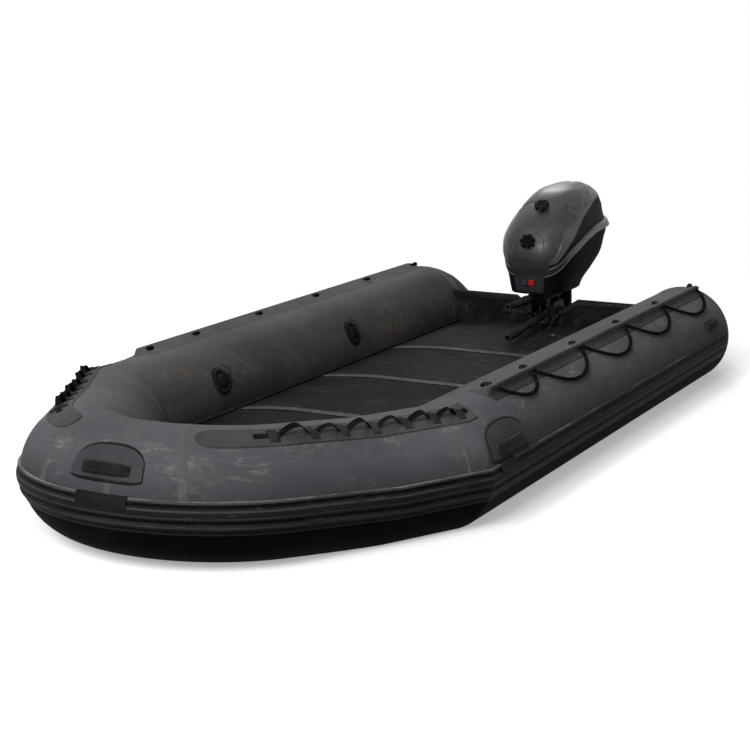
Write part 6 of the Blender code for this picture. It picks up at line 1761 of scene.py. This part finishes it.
# drive leg, gear housing and skeg as faired castings
axisY = cover["axis"]
leg = {
    # height, front and rear from the steering axis, half width
    "rows": [(-0.144, 0.05, 0.25, 0.036), (-0.06, 0.06, 0.22, 0.04), (0.1, 0.06, 0.2, 0.048),
             (0.3, 0.055, 0.19, 0.06), (0.37, 0.055, 0.19, 0.058), (0.4147, 0.055, 0.175, 0.056)],
    "strut": [(-0.275, 0.05, 0.23, 0.022), (-0.22, 0.07, 0.225, 0.026), (-0.1513, 0.07, 0.23, 0.03)],
    "skeg": [(0.025, 0.01), (0.125, 0.007), (0.2, 0.003)],
    # raised band over the split of the mid section: height, lift
    "band": [(0.028, 0.0), (0.03, 0.003), (0.046, 0.003), (0.048, 0.0)],
    # gear housing, turned: distance aft of its nose, radius
    "torpedo": [(0.0, 0.002), (0.003, 0.01), (0.009, 0.018), (0.02, 0.027), (0.038, 0.0345), (0.062, 0.04),
                (0.09, 0.0435), (0.125, 0.045), (0.165, 0.045), (0.215, 0.0442), (0.245, 0.042),
                (0.2585, 0.0405), (0.26, 0.039)],
    "steps": 22, "propY": 0.255, "propZ": -0.315, "torpedoReach": 0.266,
    # skeg under the propeller's axis: top, depth, then front and rear with their slopes
    "skegTop": 0.025, "skegDepth": 0.175, "skegFront": (0.04, 0.35), "skegRear": (0.2, 0.1),
    # block between the leg and the swivel bracket: half width, front, rear, height
    "mount": (0.028, 0.022, 0.1, 0.038),
}


def streamlined(front, rear, half, z):
    steps = leg["steps"]
    right = []
    for k in range(1, steps + 1):
        share = (k / steps) ** 1.7
        fullness = 2.969 * math.sqrt(share) - 1.26 * share - 3.516 * share ** 2 + 2.843 * share ** 3
        width = half * max(0.14 if k == steps else 0.0, fullness - 0.9 * share ** 4)
        right.append(Vector((width, axisY + front + (rear - front) * share, z)))
    left = [Vector((-point.x, point.y, z)) for point in reversed(right)]
    return [Vector((0, axisY + front, z)), *right, *left]


def castRing(part, z, grow=0.0):
    front, rear, half = (fromRows(leg[part], z, column) for column in (1, 2, 3))
    return streamlined(front - grow, rear + grow, half + grow, z)


def castRings(part, count):
    return [castRing(part, z) for z in evenly(leg[part][0][0], leg[part][-1][0], count)]


def buildLeg():
    meshData = bmesh.new()
    loft(meshData, castRings("rows", 40))
    loft(meshData, [castRing("rows", z, grow) for z, grow in leg["band"]])
    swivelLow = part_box("swivel_bracket")[0]
    half, front, rear, tall = leg["mount"]
    block(meshData, (-half, axisY - front, swivelLow.z - tall), (half, axisY + rear, swivelLow.z - 0.0006))
    piece = linkMesh("leg_casting", meshData, castPaint, 40)
    settle(piece, "powerhead", "dark_casting", "drive_leg")

    meshData = bmesh.new()
    loft(meshData, castRings("strut", 14))
    start = Vector((0, axisY + leg["propY"] - leg["torpedoReach"], leg["propZ"]))
    turned(meshData, start, start + Vector((0, 1, 0)), leg["torpedo"], 48)
    rings = []
    for n in range(11):
        depth = leg["skegTop"] + leg["skegDepth"] * n / 10
        half = alongLine(leg["skeg"], depth)
        front, rear = (axisY + place + (depth - leg["skegTop"]) * slope
                       for place, slope in (leg["skegFront"], leg["skegRear"]))
        z = leg["propZ"] - depth
        right = [Vector((half * math.sin(math.pi * min(1.0, share * 1.15) ** 0.6 * 0.5) *
                         (1 - 0.5 * max(0.0, share - 0.8) / 0.2), front + (rear - front) * share, z))
                 for share in (0.02, 0.08, 0.2, 0.4, 0.6, 0.8, 0.92, 1.0)]
        rings.append([Vector((0, front, z)), *right, *[Vector((-p.x, p.y, z)) for p in reversed(right)]])
    loft(meshData, rings)
    finish("gear_casting", meshData, castPaint, 40, "powerhead", "dark_casting", "gear_housing")
    print("leg made")


prop = {"radius": 0.14, "blades": 3, "root": 0.028, "pitch": 0.3, "chord": 0.052, "leastChord": 0.0035,
        "thick": 0.0045, "edge": 0.0016, "place": 0.045, "rake": 0.012, "skew": 0.25,
        # distance aft, radius
        "hub": [(-0.0057, 0.014), (-0.001, 0.014), (0.0, 0.03), (0.0008, 0.0375), (0.004, 0.0392),
                (0.01, 0.0408), (0.04, 0.039), (0.074, 0.036), (0.09, 0.0315), (0.0945, 0.03),
                (0.095, 0.0285), (0.093, 0.026), (0.07, 0.022)]}


def buildPropeller():
    centre = Vector((0, axisY + leg["propY"], leg["propZ"]))
    meshData = bmesh.new()
    turned(meshData, centre, centre + Vector((0, 1, 0)), prop["hub"], 48)
    for number in range(prop["blades"]):
        rings = []
        for k in range(25):
            share = 1 - (1 - k / 24) ** 1.35
            radius = prop["root"] + (prop["radius"] - prop["root"]) * share
            pitch = math.atan2(prop["pitch"] / (2 * math.pi), radius)
            chord = max(prop["leastChord"], prop["chord"] * (0.75 + 1.5 * share - 2.05 * share ** 3))
            if share > 0.9:
                # the tip rounds in
                chord *= math.sqrt(max(0.04, 1 - ((share - 0.9) / 0.1) ** 2))
            thick = prop["thick"] * (1 - share) + prop["edge"]
            ring = []
            for a, b in roundedOutline(chord, thick, 1.9, 32):
                swing = a * math.cos(pitch) - b * math.sin(pitch)
                along = a * math.sin(pitch) + b * math.cos(pitch)
                turn = swing / radius + math.radians(360 / prop["blades"] * number) + prop["skew"] * share
                ring.append(centre + Vector((radius * math.sin(turn), prop["place"] + along
                    + prop["rake"] * share, radius * math.cos(turn))))
            rings.append(ring)
        loft(meshData, rings)
    finish("propeller_cast", meshData, castPaint, 50, "propeller", "dark_casting", "propeller")
    print("propeller made")


# arms: throttle grip in front of the cover, and the tiller with its shift grip below it
arms = {"bracketZ": 0.368, "hingeX": 0.05, "hingeY": axisY - 0.26, "hingeZ": 0.294,
        "armEnd": (-0.525, -0.044),
        "collar": 0.36, "gripFront": axisY - 0.39, "cross": (-0.052, -0.07, 0.003),
        # turned profiles: distance, radius; an "End" is measured back from the far end
        "throttle": [(0.0, 0.015), (0.001, 0.016), (0.0158, 0.016), (0.0168, 0.0235), (0.0185, 0.0255),
                     (0.021, 0.026), (0.047, 0.026), (0.05, 0.0255), (0.0535, 0.023), (0.056, 0.0212),
                     (0.085, 0.021), (0.1, 0.0203), (0.25, 0.0167), (0.262, 0.0166), (0.27, 0.0174),
                     (0.28, 0.0174), (0.284, 0.0163), (0.285, 0.015), (0.2845, 0.0105), (0.28, 0.0092),
                     (0.256, 0.008)],
        "beam": [(0.0, 0.01), (0.012, 0.0115), (0.032, 0.0155), (0.043, 0.0175), (0.0455, 0.02),
                 (0.047, 0.0205), (0.062, 0.0205), (0.0645, 0.0198), (0.068, 0.0182)],
        "beamEnd": [(0.032, 0.019), (0.027, 0.0205), (0.025, 0.022), (0.013, 0.022), (0.0105, 0.021),
                    (0.007, 0.013)],
        "eye": [(-0.012, 0.0085), (-0.012, 0.015), (-0.011, 0.016), (0.011, 0.016), (0.012, 0.015),
                (0.012, 0.0085), (0.011, 0.0074), (-0.011, 0.0074)],
        "crossBar": [(0.0, 0.01), (0.024, 0.01), (0.026, 0.0125), (0.034, 0.0125), (0.036, 0.01),
                     (0.1015, 0.01)],
        "grip": [(0.0, 0.0165), (0.001, 0.0172), (0.016, 0.0215), (0.019, 0.0228), (0.022, 0.0232),
                 (0.043, 0.0232), (0.046, 0.0226), (0.052, 0.0175), (0.056, 0.0162), (0.088, 0.0162),
                 (0.093, 0.0175), (0.1, 0.0198), (0.108, 0.0204)],
        "gripEnd": [(0.04, 0.0206), (0.028, 0.0207), (0.012, 0.0207), (0.004, 0.0198), (0.001, 0.0182),
                    (0.0, 0.0165), (0.0005, 0.0125), (0.004, 0.0115), (0.03, 0.009)],
        "shift": [(0.0, 0.0145), (0.001, 0.0152), (0.008, 0.0168), (0.0105, 0.0168), (0.013, 0.0155),
                  (0.016, 0.0128), (0.02, 0.0125), (0.08, 0.0133), (0.09, 0.0136), (0.1035, 0.0148),
                  (0.108, 0.015), (0.1125, 0.0143), (0.115, 0.012)],
        "screw": [(0.0, 0.0055), (0.001, 0.006), (0.0135, 0.006), (0.014, 0.0095), (0.0155, 0.0105),
                  (0.0215, 0.0105), (0.0235, 0.0095), (0.026, 0.0065), (0.0265, 0.0045)],
        "wing": [(0.0, 0.002), (0.002, 0.0034), (0.028, 0.0034), (0.03, 0.002)],
        "wingPlace": (-0.0185, 0.015)}


# circular ribs on a grip between two distances
def ribbed(rows, start, end, radius, count, depth):
    made = [row for row in rows if row[0] <= start]
    step = (end - start) / count
    for k in range(count):
        for share, dip in ((0.1, 0.0), (0.55, 0.0), (0.7, depth), (0.95, depth)):
            made.append((start + step * (k + share), radius(start + step * (k + share)) - dip))
    return made + [row for row in rows if row[0] >= end]


def buildArms():
    def backFrom(far, profile):
        return [(far - distance, radius) for distance, radius in profile]

    meshData = bmesh.new()
    start = Vector((0, arms["gripFront"] - 0.0006, arms["bracketZ"] + 0.02))
    rows = ribbed(arms["throttle"], 0.11, 0.246, lambda d: 0.0203 - (d - 0.1) * 0.0245, 20, 0.0012)
    turned(meshData, start, start + Vector((0, -1, 0.02)), rows, 44)
    finish("throttle_grip_ribbed", meshData, rubber, 28, "powerhead", "black_rubber", "throttle_grip")

    hinge = Vector((arms["hingeX"], arms["hingeY"], arms["hingeZ"]))
    end = Vector((arms["hingeX"], arms["hingeY"] + arms["armEnd"][0], arms["hingeZ"] + arms["armEnd"][1]))
    collar = hinge.lerp(end, arms["collar"])
    along = (collar - hinge).normalized()
    reach = (collar - hinge).length - 0.01
    meshData = bmesh.new()
    turned(meshData, hinge + along * 0.0165, collar, arms["beam"] + backFrom(reach, arms["beamEnd"]), 40)
    # eye that turns on the hinge pin
    rings = []
    for turn in roundTurns(40):
        away = Vector((0, math.cos(turn), math.sin(turn)))
        rings.append([hinge + Vector((x, 0, 0)) + away * radius for x, radius in arms["eye"]])
    loft(meshData, rings + [rings[0]], False)
    crossX, crossY, crossZ = arms["cross"][0], hinge.y + arms["cross"][1], hinge.z + arms["cross"][2]
    turned(meshData, (hinge.x, crossY, crossZ), (crossX, crossY, crossZ + 0.005), arms["crossBar"], 32)
    bmesh.ops.remove_doubles(meshData, verts=meshData.verts, dist=1e-6)
    finish("tiller_beam", meshData, castPaint, 32, "tiller", "dark_casting", "tiller_arm")

    along = (end - collar).normalized()
    length = (end - collar).length
    meshData = bmesh.new()
    rows = ribbed(arms["grip"] + backFrom(length, arms["gripEnd"]), 0.112, length - 0.044, lambda d: 0.0206,
        16, 0.0013)
    turned(meshData, collar + along * 0.0006, end, rows, 44)
    finish("tiller_grip_ribbed", meshData, rubber, 28, "tiller", "black_rubber", "tiller_grip")

    meshData = bmesh.new()
    rows = ribbed(arms["shift"], 0.022, 0.078, lambda d: 0.0125 + (d - 0.02) * 0.0133, 9, 0.001)
    turned(meshData, (crossX - 0.0006, crossY, crossZ + 0.005), (crossX - 0.116, crossY, crossZ + 0.0102),
        rows, 36)
    finish("shift_grip_ribbed", meshData, rubber, 28, "tiller", "black_rubber", "shift_grip")

    # clamp screws with winged heads
    for node in ("clamp_screw_port", "clamp_screw_starboard"):
        low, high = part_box(node)
        centre = Vector(((low.x + high.x) / 2, high.y, (low.z + high.z) / 2))
        y, half = arms["wingPlace"]
        meshData = bmesh.new()
        turned(meshData, centre, centre - Vector((0, 1, 0)), arms["screw"], 32)
        turned(meshData, centre + Vector((0, y, -half)), centre + Vector((0, y, half)), arms["wing"], 20)
        finish(node + "_winged", meshData, castPaint, 32, "hull", "dark_casting", node)
    print("arms made")


buildHose()
buildTubes()
buildTapes()
buildStrake()
buildHandles()
buildLifelines()
buildLashings()
buildValves()
buildPlainPieces()
buildHullSkin()
buildDeck()
buildTransom()
buildCover()
buildPanel()
buildKnobs()
buildLeg()
buildPropeller()
buildArms()
